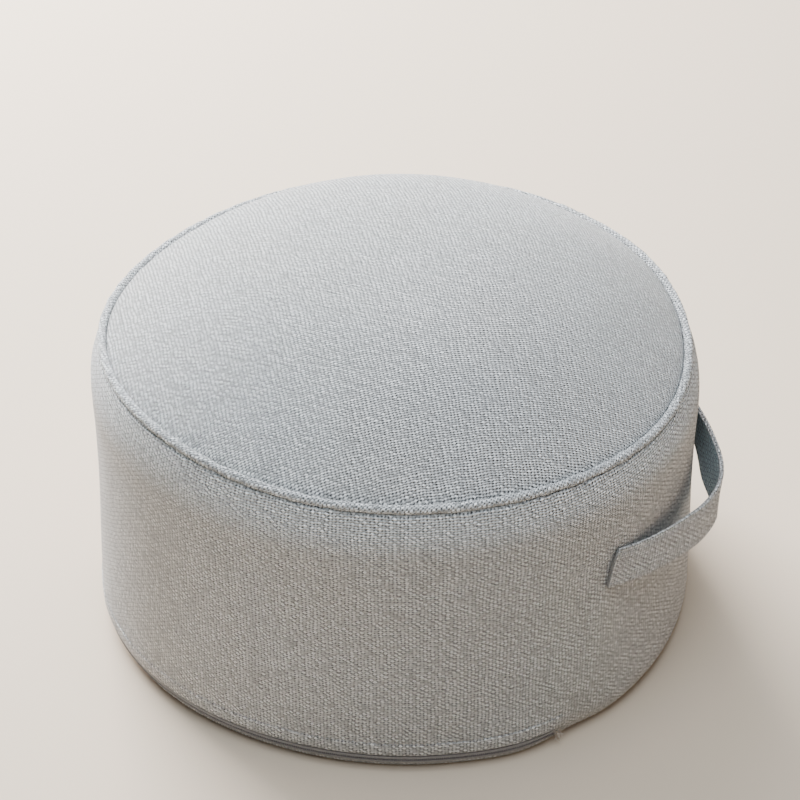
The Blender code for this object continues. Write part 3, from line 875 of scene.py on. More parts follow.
@dataclass
class FilledCover:
    """The cover pressed out by its filling: a cloth simulation on a coarse net of the side and top.

    The net is held along the hem and along the seam, where the cloth is gathered a little. The form
    has the even swelling already, so only what differs round each row is kept: soft leaning folds
    in the side, a slightly uneven crown, and puckers along the seam.
    """

    form: PoufForm
    columns: int = 216
    side_rows: int = 40
    top_rows: int = 34
    middle_share: float = 0.03
    gather: float = 0.0004
    gather_rows: float = 3.0
    gather_waves: tuple[int, int] = (18, 48)
    frames: int = 20
    pressure: float = 8.0
    bending: float = 10.0
    ease: float = 0.002
    most: float = 0.0009
    calm_from: float = 0.006
    calm_to: float = 0.06

    def press(self) -> Folds:
        """Press the cover out.

        Returns:
            The lift of the side, from the hem up to the seam, and of the top, from the seam inwards.
        """
        form = self.form
        azimuth = azimuths_round(self.columns)
        _, lip_h = form.lip(azimuth)
        rim_r, _ = form.beside_cord(azimuth, form.rim_angle, form.piping_radius)
        rows = []
        for share in np.linspace(0.0, 1.0, self.side_rows):
            level = form.hem_top * (1.0 - share) + lip_h * share
            rows.append(round_points(azimuth, form.side_radius(azimuth, level), level))
        shares = np.linspace(1.0, self.middle_share, self.top_rows)
        for share in shares:
            rows.append(round_points(azimuth, rim_r * share, form.crown_height(azimuth, rim_r * share)))
        plain = np.stack(rows)
        outward = unit(plain * np.array((1.0, 1.0, 0.0)))
        outward[self.side_rows:] = (0.0, 0.0, 1.0)
        row = np.arange(len(rows))
        from_held = np.minimum.reduce([np.abs(row - held) for held in self._held_rows()])
        gathers = self.gather * np.exp(-from_held / self.gather_rows) * (from_held > 0)
        gathered = uneven(azimuth, *self.gather_waves, seed=3)
        start = plain + outward * gathers[:, None, None] * gathered[None, :, None]
        lift = ((self._simulate(start) - plain) * outward).sum(-1)
        lift -= lift.mean(axis=1, keepdims=True)
        lift = self.most * np.tanh(lift / self.most)
        calm = smooth_step(shares * form.seam_radius, self.calm_from, self.calm_to)
        log.info("filling pressed in: up to %.1f mm", np.abs(lift).max() / MILLIMETRE)
        return Folds(lift[:self.side_rows], lift[self.side_rows:] * calm[:, None])

    def _held_rows(self) -> tuple[int, int, int]:
        """Return the rows that the hem and the seam hold still."""
        return 0, self.side_rows - 1, self.side_rows

    def _simulate(self, start: Array) -> Array:
        """Run the cloth simulation.

        Args:
            start: the net's points, rows by columns by 3.

        Returns:
            Where the points come to.
        """
        rows, columns = start.shape[:2]
        poles = (np.array((0.0, 0.0, self.form.cloth)), start[-1].mean(axis=0))
        mesh = grid_mesh("cover_net", start, np.zeros((rows, columns + 1, 2)), poles=poles)
        net = bpy.data.objects.new("cover_net", mesh)
        bpy.context.scene.collection.objects.link(net)
        held = net.vertex_groups.new(name="held")
        for row in self._held_rows():
            held.add(list(range(row * columns, (row + 1) * columns)), 1.0, "REPLACE")
        held.add([rows * columns], 1.0, "REPLACE")
        filling = net.modifiers.new("filling", "CLOTH")
        cloth = filling.settings
        cloth.vertex_group_mass = held.name
        cloth.use_pressure = True
        cloth.uniform_pressure_force = self.pressure
        cloth.bending_stiffness = self.bending
        cloth.shrink_min = -self.ease
        cloth.effector_weights.gravity = 0.0
        filling.point_cache.frame_start = 1
        filling.point_cache.frame_end = self.frames
        for frame in range(1, self.frames + 1):
            bpy.context.scene.frame_set(frame)
        pressed = net.evaluated_get(bpy.context.evaluated_depsgraph_get()).to_mesh()
        points = np.empty(3 * len(pressed.vertices), np.float32)
        pressed.vertices.foreach_get("co", points)
        bpy.data.objects.remove(net)
        bpy.context.scene.frame_set(1)
        return points[:3 * rows * columns].reshape(rows, columns, 3).astype(float)


@dataclass(frozen=True)
class Puckers:
    """Fine puckers where a panel is sewn to the piping. They come in groups and fade away from it."""

    seed: int
    group_seed: int
    depth: float = 0.00022
    reach: float = 0.010
    waves: tuple[int, int] = (85, 140)
    group_waves: tuple[int, int] = (9, 17)
    group_share: float = 0.4

    def at(self, azimuth: Array, distance: Array) -> Array:
        """Find the puckers' height.

        Args:
            azimuth: where round the seam.
            distance: how far from the seam.

        Returns:
            How far the cloth stands out.
        """
        near = np.exp(-np.abs(distance) / self.reach)
        grouped = uneven(azimuth, *self.group_waves, seed=self.group_seed)
        groups = 1.0 - self.group_share + self.group_share * grouped
        return self.depth * near * groups * uneven(azimuth, *self.waves, seed=self.seed)


@dataclass
class SidePanel:
    """The side panel with its filling: hemmed over the zip, drawn in under the piping.

    Its outline runs from the base's middle out to the base's rim, up through the recess behind the
    zip, round the hem's fold, up the side and in under the piping, and closes inside the crown.
    """

    form: PoufForm
    folds: Folds
    columns: int = 504
    side_rows: int = 92
    cloth_round: float = 1.310
    hem_step: float = 0.0005
    hem_step_run: tuple[float, float] = (-0.0006, 0.0004)
    stitch_groove: float = 0.0005
    groove_width: float = 0.0007
    lip_depth: float = 0.0013
    lip_start: float = 0.0026
    lip_reach: float = 0.0016
    low_depth: float = 0.00012
    low_reach: float = 0.012
    low_waves: tuple[int, int] = (60, 110)
    crown_drop: float = 0.0036
    edge_inset: float = 0.001
    puckers: Puckers = Puckers(seed=3, group_seed=5)
    base_shares: tuple[float, ...] = (0.25, 0.5, 0.75, 1.0)
    # How far inside the base's rim each row lies, and how far over the floor of cloth.
    base_edge: tuple[tuple[float, float], ...] = ((0.003825, 0.0004), (0.0004, 0.0014))
    recess_levels: tuple[float, ...] = (0.0060, 0.0085, 0.0110, 0.0135)
    recess_margins: tuple[float, float] = (0.0002, 0.0003)
    # The share of the recess that each row of the hem's fold keeps, and its height over the hem's edge.
    hem_fold: tuple[tuple[float, float], ...] = (
        (0.55, -0.0002), (0.22, 0.0000), (0.06, 0.0004), (0.0, 0.0010))
    # Heights over the stitches, close together where the cloth dips at them.
    sewn_levels: tuple[float, ...] = (
        -0.0075, -0.0055, -0.0035, -0.0016, -0.0010, -0.0006, -0.0003, 0.0, 0.0003, 0.0006, 0.0010, 0.0018)
    side_start: float = 0.0036
    # Angles round the cord, in degrees, where the cloth runs in under it.
    under_cord: tuple[float, ...] = (-70.0, -95.0, -125.0, -155.0, -178.0)
    inside_shares: tuple[float, ...] = (1.0, 0.985, 0.96, 0.9, 0.8, 0.65, 0.5, 0.35, 0.2, 0.08)
    stitch: Repeat = Repeat(spacing=0.0036, length=0.0027, width=0.0005, height=0.0005, jitter=0.08, seed=4)
    stitch_lift: float = 0.0001
    stitches_past: float = 1.0
    path_steps: int = 400

    def _relief(self, azimuth: Array, height: Array) -> Array:
        """Return how far the cloth stands out from the plain form.

        Args:
            azimuth: the columns' azimuths.
            height: the row's height in each column.

        Returns:
            The distance outwards at each column.
        """
        form = self.form
        _, seam_h = form.seam(azimuth)
        _, lip_h = form.lip(azimuth)
        share = (height - form.hem_top) / (lip_h - form.hem_top)
        below = seam_h - height
        over_hem = height - form.hem_top
        lip = -self.lip_depth * np.exp(-np.maximum(below - self.lip_start, 0.0) / self.lip_reach)
        hem = self.hem_step * (1.0 - smooth_step(over_hem, *self.hem_step_run))
        groove = -self.stitch_groove * np.exp(-(over_hem / self.groove_width) ** 2)
        low = self.low_depth * np.exp(-height / self.low_reach) * uneven(azimuth, *self.low_waves, seed=8)
        sewn = self.puckers.at(azimuth, below) + lip + form.at_zip(azimuth) * (hem + groove)
        return sewn + low + read_net(self.folds.side, azimuth, share)

    def _outline(self, azimuth: Array) -> list[tuple[Array, Array]]:
        """Return the closed outline, from the base's middle to the crown's middle, as rows.

        Args:
            azimuth: the columns' azimuths.

        Returns:
            Each row's radius and height in every column.
        """
        form = self.form
        floor = form.cloth + form.gap
        rim = form.side_radius(azimuth, np.full_like(azimuth, form.base_rim_top)) - form.base_rim_inset
        inner = rim - form.cloth - form.gap
        recess = form.zip_recess * form.at_zip(azimuth)
        whole = np.ones_like(azimuth)
        rows = [((inner - form.base_corner) * share, whole * floor) for share in self.base_shares]
        rows += [(inner - inwards, whole * (floor + rise)) for inwards, rise in self.base_edge]
        shelf = form.base_rim_top + form.gap
        rows.append((form.side_radius(azimuth, whole * shelf) - form.zip_recess - form.gap, whole * shelf))
        after_shelf, before_hem = self.recess_margins
        for height in (shelf + after_shelf, *self.recess_levels, form.hem_edge - before_hem):
            rows.append((form.side_radius(azimuth, whole * height) - recess, whole * height))
        for inwards, height in self.hem_fold:
            level = whole * (form.hem_edge + height)
            radius = form.side_radius(azimuth, level) + self._relief(azimuth, level) - recess * inwards
            rows.append((radius, level))
        _, lip_h = form.lip(azimuth)
        levels = [whole * (form.hem_top + height) for height in self.sewn_levels]
        for share in np.linspace(0.0, 1.0, self.side_rows):
            levels.append((form.hem_top + self.side_start) * (1.0 - share) + lip_h * share)
        rows += [(form.side_radius(azimuth, level) + self._relief(azimuth, level), level) for level in levels]
        for angle in self.under_cord:
            rows.append(form.beside_cord(azimuth, angle, form.piping_radius + form.gap * 2.0))
        edge_r, _ = form.beside_cord(azimuth, -self.under_cord[-1], form.piping_radius + form.cloth)
        for share in self.inside_shares:
            radius = edge_r * share - self.edge_inset
            rows.append((radius, form.crown_height(azimuth, radius) - self.crown_drop))
        return rows

    def build(self) -> bpy.types.Object:
        """Returns:
            The piece.
        """
        azimuth = azimuths_round(self.columns)
        outline = self._outline(azimuth)
        points = np.stack([round_points(azimuth, radius, height) for radius, height in outline])
        heights = np.stack([height for _, height in outline])
        heights = np.concatenate([heights, heights[:, :1]], 1)
        around = np.arange(self.columns + 1) / self.columns * self.cloth_round
        cloth = np.stack(np.broadcast_arrays(around[None, :], heights), -1)
        middle = self.form.crown_middle() - self.crown_drop
        poles = (np.array((0.0, 0.0, self.form.cloth + self.form.gap)), np.array((0.0, 0.0, middle)))
        mesh = grid_mesh("side_panel_cloth", points, cloth, poles=poles)
        piece = add_piece("side_panel_cloth", mesh, SIDE_CLOTH.material())
        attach(piece, BODY)
        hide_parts("side_panel")
        return piece

    def hem_stitches(self) -> bpy.types.Object:
        """Sew the row of stitches that holds the hem over the zip.

        Returns:
            The piece.
        """
        azimuth = np.linspace(self.form.zip_from, self.form.zip_to + self.stitches_past, self.path_steps)
        level = np.full_like(azimuth, self.form.hem_top)
        radius = self.form.side_radius(azimuth, level) + self._relief(azimuth, level) + self.stitch_lift
        path = round_points(azimuth, radius, level)
        outward = round_points(azimuth, np.ones_like(azimuth), np.zeros_like(azimuth))
        piece = self.stitch.build("hem_stitches", path, outward, SEWING_THREAD.material())
        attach(piece, BODY)
        return piece


@dataclass
class TopPanel:
    """The domed disc of cloth inside the piping, its rim drawn down into the seam."""

    form: PoufForm
    folds: Folds
    columns: int = 432
    rows: int = 74
    flat_radius: float = 0.200
    tuck_depth: float = 0.0016
    tuck_reach: float = 0.0014
    last_share: float = 0.02
    dome_stretch: float = 0.07
    puckers: Puckers = Puckers(seed=13, group_seed=6)

    def build(self) -> bpy.types.Object:
        """Returns:
            The piece.
        """
        form = self.form
        azimuth = azimuths_round(self.columns)
        rim_r, _ = form.beside_cord(azimuth, form.rim_angle, form.piping_radius + 2.0 * form.gap)
        rows = []
        for share in np.sin(np.linspace(1.0, self.last_share, self.rows) * math.pi / 2.0):
            radius = rim_r * share
            inside = rim_r - radius
            tuck = -self.tuck_depth * np.exp(-inside / self.tuck_reach)
            puckers = self.puckers.at(azimuth, inside)
            lift = read_net(self.folds.top, azimuth, (1.0 - share) / (1.0 - FilledCover.middle_share))
            height = form.crown_height(azimuth, radius) + tuck + puckers + lift
            rows.append(round_points(azimuth, radius, height))
        points = np.stack(rows)
        share = np.hypot(points[..., 0], points[..., 1]) / form.seam_radius
        slope = form.crown_rise * form.crown_power * share ** (form.crown_power - 1.0) / form.seam_radius
        flat = points[..., :2] * (1.0 + self.dome_stretch * slope[..., None] ** 2)
        cloth = np.concatenate([flat, flat[:, :1]], 1)
        middle = np.array((0.0, 0.0, form.crown_middle()))
        mesh = grid_mesh("top_panel_cloth", points, cloth, poles=(None, middle))
        piece = add_piece("top_panel_cloth", mesh, TOP_CLOTH.material())
        wall = piece.modifiers.new("thickness", "SOLIDIFY")
        wall.thickness = form.cloth
        wall.offset = -1.0
        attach(piece, BODY)
        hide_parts("top_panel")
        return piece


@dataclass
class BasePanel:
    """The flat disc of cloth under the pouf, its rim turned up to the bottom seam and the zip."""

    form: PoufForm
    columns: int = 360
    zip_edge: float = 0.0020
    flat_radius: float = 0.202
    flat_shares: tuple[float, ...] = (0.05, 0.2, 0.4, 0.6, 0.8, 0.9, 1.0)
    # For each row of the turned-up rim: how far inside it, its share of the flare, and its height.
    turn_up: tuple[tuple[float, float, float], ...] = (
        (0.00595, 0.0, 0.0001), (0.00357, 0.0, 0.0004), (0.0010, 0.0, 0.0014), (0.0002, 0.0, 0.0022),
        (0.0, 0.2, 0.0029))
    half_way: tuple[float, float] = (0.7, 0.0016)
    edge_width: float = 0.0003

    def build(self) -> bpy.types.Object:
        """Returns:
            The piece.
        """
        form = self.form
        azimuth = azimuths_round(self.columns)
        whole = np.ones_like(azimuth)
        rim = form.side_radius(azimuth, whole * form.base_rim_top) - form.base_rim_inset
        edge = form.base_rim_top + self.zip_edge * form.at_zip(azimuth)
        flare = form.side_radius(azimuth, edge) - form.side_radius(azimuth, whole * form.base_rim_top)
        rows = [((rim - form.base_corner) * share, whole * 0.0) for share in self.flat_shares]
        for inwards, flared, rise in self.turn_up:
            rows.append((rim - inwards + flared * flare, whole * rise))
        flared, rise = self.half_way
        rows += [(rim + flared * flare, edge / 2.0 + rise),
                 (rim + flare, edge - self.edge_width), (rim + flare, edge)]
        points = np.stack([round_points(azimuth, radius, height) for radius, height in rows])
        run = np.stack([radius + height for radius, height in rows])
        flat = round_points(azimuth, run, np.zeros_like(run))[..., :2]
        cloth = np.concatenate([flat, flat[:, :1]], 1)
        mesh = grid_mesh("base_panel_cloth", points, cloth, poles=(np.zeros(3), None))
        piece = add_piece("base_panel_cloth", mesh, BASE_CLOTH.material())
        wall = piece.modifiers.new("thickness", "SOLIDIFY")
        wall.thickness = form.cloth
        wall.offset = -1.0
        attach(piece, BODY)
        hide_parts("base_panel")
        return piece


@dataclass
class Piping:
    """The cord in the top seam, covered in cloth cut on the bias.

    Its cover is spliced at one place, where a short swell and the cut end of the strip show.
    """

    form: PoufForm
    columns: int = 900
    around: int = 20
    uneven_depth: float = 0.00012
    uneven_waves: tuple[int, int] = (30, 80)
    wrinkles_round: float = 128.0
    wrinkle_depth: float = 0.00014
    wrinkle_groups: tuple[int, int] = (7, 23)
    splice_azimuth: float = -56.0
    splice_turn: float = 1.6
    splice_swell: float = 0.0004
    cut_depth: float = 0.0006
    cut_after: float = 0.9
    cut_turn: float = 0.22
    cloth_round: float = 1.260

    def build(self) -> bpy.types.Object:
        """Build the piping as one closed ring.

        Returns:
            The piece.
        """
        form = self.form
        azimuth = azimuths_round(self.columns)
        seam_r, seam_h = form.seam(azimuth)
        turn = turn_between(azimuth, self.splice_azimuth)
        splice = self.splice_swell * np.exp(-(turn / self.splice_turn) ** 2)
        cut = self.cut_depth * np.exp(-((turn - self.cut_after) / self.cut_turn) ** 2)
        lumps = self.uneven_depth * uneven(azimuth, *self.uneven_waves, seed=31)
        thick = form.piping_radius + splice - cut + lumps
        grouped = self.wrinkle_depth * (0.5 + 0.5 * uneven(azimuth, *self.wrinkle_groups, seed=32))
        rows, marks = [], []
        for k in range(self.around + 1):
            angle = 2.0 * math.pi * k / self.around
            radius = thick + grouped * np.sin(np.radians(azimuth * self.wrinkles_round) + angle)
            height = seam_h + radius * math.sin(angle)
            rows.append(round_points(azimuth, seam_r + radius * math.cos(angle), height))
            marks.append(form.piping_radius * angle)
        points = np.stack(rows[:-1])
        along = np.arange(self.columns + 1) / self.columns * self.cloth_round
        cloth = np.stack(np.broadcast_arrays(along[None, :], np.array(marks)[:, None]), -1)
        piece = add_piece("piping_cord", grid_mesh("piping_cord", points, cloth, Closing.RING),
                          PIPING_CLOTH.material())
        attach(piece, BODY)
        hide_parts("piping")
        return piece


@dataclass
class Strap:
    """The carrying strap: cloth folded to the middle, stitched down its edges and sewn to the side.

    Its upper edge bows out further than its lower one, most of all towards the rear.
    """

    form: PoufForm
    width: float = 0.031
    thickness: float = 0.0032
    upper_reach: float = 1.125
    front_lean: float = 0.05
    rear_lean: float = 0.65
    lean_from: float = 6.0
    lean_to: float = 18.0
    bow_drop: float = 0.0022
    steps: int = 150
    front_trim: float = 1.9
    corner_trim: float = 0.35
    trim_reach: float = 4.0
    groove_inset: float = 0.0040
    groove_depth: float = 0.0004
    groove_width: float = 0.0008
    thinner_middle: float = 0.0003
    inner_dent: float = 0.6
    face_points: int = 25
    edge_turns: tuple[float, ...] = (60.0, 30.0, 0.0, -30.0, -60.0)
    frame_points: int = 9
    end_pinch: float = 0.05
    end_pinch_steps: float = 1.2
    # Faces low in the section and inside its edges get the inner face's painted shade.
    inside_height: float = 0.3
    inside_margin: float = 0.0015
    stitch: Repeat = Repeat(spacing=0.0034, length=0.0025, width=0.00045, height=0.00045, jitter=0.08, seed=9)
    stitch_lift: float = 0.0001
    stitch_margin: float = 0.8
    stitch_path_steps: int = 200
    rows: tuple[StrapRow, ...] = (
        StrapRow(-26.0, 0.0004, 0.1434), StrapRow(-23.5, 0.0004, 0.1414), StrapRow(-21.0, 0.0008, 0.1396),
        StrapRow(-17.0, 0.0028, 0.1374), StrapRow(-13.0, 0.0054, 0.1356), StrapRow(-9.0, 0.0082, 0.1340),
        StrapRow(-5.0, 0.0111, 0.1325), StrapRow(-2.0, 0.0138, 0.1314), StrapRow(1.0, 0.0160, 0.1306),
        StrapRow(4.0, 0.0176, 0.1300), StrapRow(7.0, 0.0184, 0.1297), StrapRow(10.0, 0.0182, 0.1298),
        StrapRow(13.0, 0.0168, 0.1303), StrapRow(16.0, 0.0144, 0.1314), StrapRow(19.0, 0.0111, 0.1330),
        StrapRow(22.0, 0.0078, 0.1350), StrapRow(25.0, 0.0040, 0.1376), StrapRow(27.5, 0.0010, 0.1400),
        StrapRow(30.0, 0.0004, 0.1424))

    def _inner_face(self, azimuth: Array, across: Array) -> Array:
        """Return points of the strap's inner face.

        Args:
            azimuth: stations along the strap.
            across: distances up from its middle line.

        Returns:
            Stations by distances by 3.
        """
        keys = np.array([row.azimuth for row in self.rows])
        standoff = through_table(keys, np.array([row.standoff for row in self.rows]), azimuth)
        height = through_table(keys, np.array([row.height for row in self.rows]), azimuth)
        degree = math.radians(1.0) * self.form.side_radii[len(self.form.side_radii) // 2]
        slope = np.arctan2(np.gradient(height), np.gradient(azimuth) * degree)
        below = 0.5 - across[None, :] / self.width
        bow = standoff[:, None] / max(row.standoff for row in self.rows)
        spread = across[None, :] - self.bow_drop * bow * below
        line_azimuth = azimuth[:, None] - spread * np.sin(slope)[:, None] / degree
        line_height = height[:, None] + spread * np.cos(slope)[:, None]
        to_corner = smooth_step(across[None, :], 0.25 * self.width, 0.5 * self.width)
        corner = self.front_trim * (1.0 + self.corner_trim * to_corner)
        from_front = azimuth[:, None] - self.rows[0].azimuth
        line_azimuth = line_azimuth + corner * np.exp(-from_front / self.trim_reach)
        lean = self.front_lean + self.rear_lean * smooth_step(azimuth[:, None], self.lean_from, self.lean_to)
        radius = self.form.side_radius(line_azimuth, line_height)
        radius = radius + standoff[:, None] * (self.upper_reach - lean * below)
        return round_points(line_azimuth, radius, line_height)

    def _section(self) -> list[tuple[float, float]]:
        """Draw the strap's section.

        Returns:
            For each point, its distance up from the middle line and out from the inner face.
        """
        round_r = self.thickness / 2.0
        edge = self.width / 2.0 - round_r
        turns = [math.radians(angle) for angle in self.edge_turns]
        face = np.linspace(-edge, edge, self.face_points)
        outer = [(across, self.thickness - self._dent(across)) for across in face]
        upper = [(edge + round_r * math.cos(turn), round_r + round_r * math.sin(turn)) for turn in turns]
        inner = [(across, self.inner_dent * self._dent(across)) for across in face[::-1]]
        lower = [(-out, up) for out, up in upper[::-1]]
        return outer + upper + inner + lower

    def _dent(self, across: float) -> float:
        """Find how deep the stitching and the thinner middle press the face in.

        Args:
            across: distance up from the middle line.

        Returns:
            The depth.
        """
        line = self.width / 2.0 - self.groove_inset
        stitched = self.groove_depth * math.exp(-((abs(across) - line) / self.groove_width) ** 2)
        return stitched + self.thinner_middle * (1.0 - min(1.0, (across / line) ** 2))

    def _frame(self, azimuth: Array, across: Array) -> tuple[Array, Array]:
        """Find the inner face and which way it faces.

        Args:
            azimuth: stations along the strap.
            across: distances up from its middle line.

        Returns:
            Points of the inner face, and the directions out of it.
        """
        points = self._inner_face(azimuth, across)
        along = np.gradient(points, axis=0)
        return points, unit(np.cross(along, np.gradient(points, axis=1)))

    def build(self) -> bpy.types.Object:
        """Build the strap as one closed piece.

        Returns:
            The piece, with its inner face in a finish of its own, painted darker as shade.
        """
        section = self._section()
        across = np.array([a for a, _ in section])
        out = np.array([o for _, o in section])
        azimuth = np.linspace(self.rows[0].azimuth, self.rows[-1].azimuth, self.steps)
        spread = np.linspace(-self.width / 2.0, self.width / 2.0, self.frame_points)
        grid, normals = self._frame(azimuth, spread)
        points = np.empty((len(section), self.steps, 3))
        for k in range(self.steps):
            for axis in range(3):
                at = np.interp(across, spread, grid[k, :, axis])
                facing = np.interp(across, spread, normals[k, :, axis])
                points[:, k, axis] = at + facing * out
        ends = np.exp(-np.minimum(np.arange(self.steps), np.arange(self.steps)[::-1]) / self.end_pinch_steps)
        middle = points.mean(axis=0, keepdims=True)
        points += (middle - points) * (self.end_pinch * ends)[None, :, None]
        middle_line = grid[:, self.frame_points // 2]
        length = np.concatenate([[0.0], np.cumsum(np.linalg.norm(np.diff(middle_line, axis=0), axis=1))])
        girth = np.concatenate([[0.0], np.cumsum(np.hypot(np.diff(across), np.diff(out)))])
        girth = np.append(girth, girth[-1] + MILLIMETRE)
        cloth = np.stack(np.broadcast_arrays(length[None, :], girth[:, None]), -1)
        mesh = grid_mesh("strap_cloth", points[::-1], cloth[::-1], Closing.TUBE)
        piece = add_piece("strap_cloth", mesh, STRAP_CLOTH.material())
        # The inner face gets the darker finish: painted shade for the shade between the strap and the side.
        mesh.materials.append(STRAP_INSIDE_SHADE.material())
        within = np.abs(across) < self.width / 2.0 - self.inside_margin
        inner = (out < self.inside_height * self.thickness) & within
        at = len(section) - 2 - np.arange(len(mesh.polygons)) // (self.steps - 1)
        mesh.polygons.foreach_set("material_index", inner[np.maximum(at, 0)].astype(np.int32))
        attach(piece, BODY)
        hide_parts("handle")
        return piece

    def stitches(self) -> list[bpy.types.Object]:
        """Sew a row of stitches along each edge of the strap's outer face.

        Returns:
            Both rows.
        """
        first, last = self.rows[0].azimuth + self.stitch_margin, self.rows[-1].azimuth - self.stitch_margin
        azimuth = np.linspace(first, last, self.stitch_path_steps)
        line = self.width / 2.0 - self.groove_inset
        material = SEWING_THREAD.material()
        sewn = []
        for name, offset in (("strap_stitches_upper", line), ("strap_stitches_lower", -line)):
            beside = np.array([offset - MILLIMETRE, offset, offset + MILLIMETRE])
            grid, normals = self._frame(azimuth, beside)
            path = grid[:, 1] + normals[:, 1] * (self.thickness - self.groove_depth + self.stitch_lift)
            piece = self.stitch.build(name, path, normals[:, 1], material)
            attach(piece, BODY)
            sewn.append(piece)
        return sewn


@dataclass
class Zip:
    """The zip under the hem: two tapes and the meshed coil between them."""

    form: PoufForm
    steps: int = 420
    tape_thickness: float = 0.0008
    tape_inset: float = 0.0013
    lower_tape: tuple[float, float] = (0.0052, 0.0093)
    upper_tape: tuple[float, float] = (0.0111, 0.0143)
    tape_bulge: float = 1.1
    coil_middle: float = 0.0102
    tooth_pitch: float = 0.00135
    tooth_length: float = 0.0015
    tooth_width: float = 0.0010
    tooth_height: float = 0.0011
    tooth_slant: float = 14.0
    row_shift: float = 0.0005
    row_lag: float = 0.19
    coil_margin: float = 0.3
    start_run: float = 3.0
    start_tuck: float = 0.0016

    def _inset(self, azimuth: Array) -> Array:
        """Find how deep the tapes' backs lie. They dive under the side cloth at the zip's start.

        Args:
            azimuth: where along the zip.

        Returns:
            The depth under the side's plain form.
        """
        past = np.clip((self.form.zip_from - azimuth) / self.start_run, 0.0, 1.0)
        return self.tape_inset + self.start_tuck * past ** 2

    def _tape(
        self, name: str, node: str, edges: tuple[float, float], material: bpy.types.Material,
    ) -> bpy.types.Object:
        """Build one tape.

        Args:
            name: the piece's name.
            node: the solid that it stands for.
            edges: the heights of its lower and upper edge.
            material: its finish.

        Returns:
            The tape.
        """
        form = self.form
        azimuth = np.linspace(form.zip_from - self.start_run, form.zip_to, self.steps)
        low, high = edges
        section = ((low, 0.0), (high, 0.0), (high, 1.0), ((low + high) / 2.0, self.tape_bulge), (low, 1.0))
        rows, marks = [], []
        for height, out in section:
            level = np.full_like(azimuth, height)
            base = form.side_radius(azimuth, level) - self._inset(azimuth)
            rows.append(round_points(azimuth, base + out * self.tape_thickness, level))
            marks.append(height)
        marks.append(low)
        along = np.radians(azimuth) * form.seam_radius
        cloth = np.stack(np.broadcast_arrays(along[None, :], np.array(marks)[:, None]), -1)
        mesh = grid_mesh(name, np.stack(rows)[::-1], cloth[::-1], Closing.TUBE)
        piece = add_piece(name, mesh, material)
        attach(piece, BODY)
        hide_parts(node)
        return piece

    def build(self) -> list[bpy.types.Object]:
        """Build both tapes and both rows of coil teeth.

        Returns:
            The four pieces.
        """
        form = self.form
        tape = ZIP_TAPE.material()
        nylon = NYLON_COIL.material()
        pieces = [self._tape("zip_tape_lower_woven", "zip_tape_lower", self.lower_tape, tape),
                  self._tape("zip_tape_upper_woven", "zip_tape_upper", self.upper_tape, tape)]
        first, last = form.zip_from - self.start_run + self.coil_margin, form.zip_to - self.coil_margin
        for name, side, lag in (("zip_teeth_lower", -1.0, 0.0), ("zip_teeth_upper", 1.0, self.row_lag)):
            azimuth = np.linspace(first + lag, last, self.steps)
            level = np.full_like(azimuth, self.coil_middle + side * self.row_shift)
            radius = form.side_radius(azimuth, level) - self._inset(azimuth) + self.tape_thickness
            outward = round_points(azimuth, np.ones_like(azimuth), np.zeros_like(azimuth))
            tooth = Repeat(spacing=self.tooth_pitch, length=self.tooth_width, width=self.tooth_length,
                           height=self.tooth_height, turn_deg=side * self.tooth_slant, seed=2)
            piece = tooth.build(name, round_points(azimuth, radius, level), outward, nylon)
            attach(piece, BODY)
            if name == "zip_teeth_lower":
                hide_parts("zip_coil")
            pieces.append(piece)
        return pieces


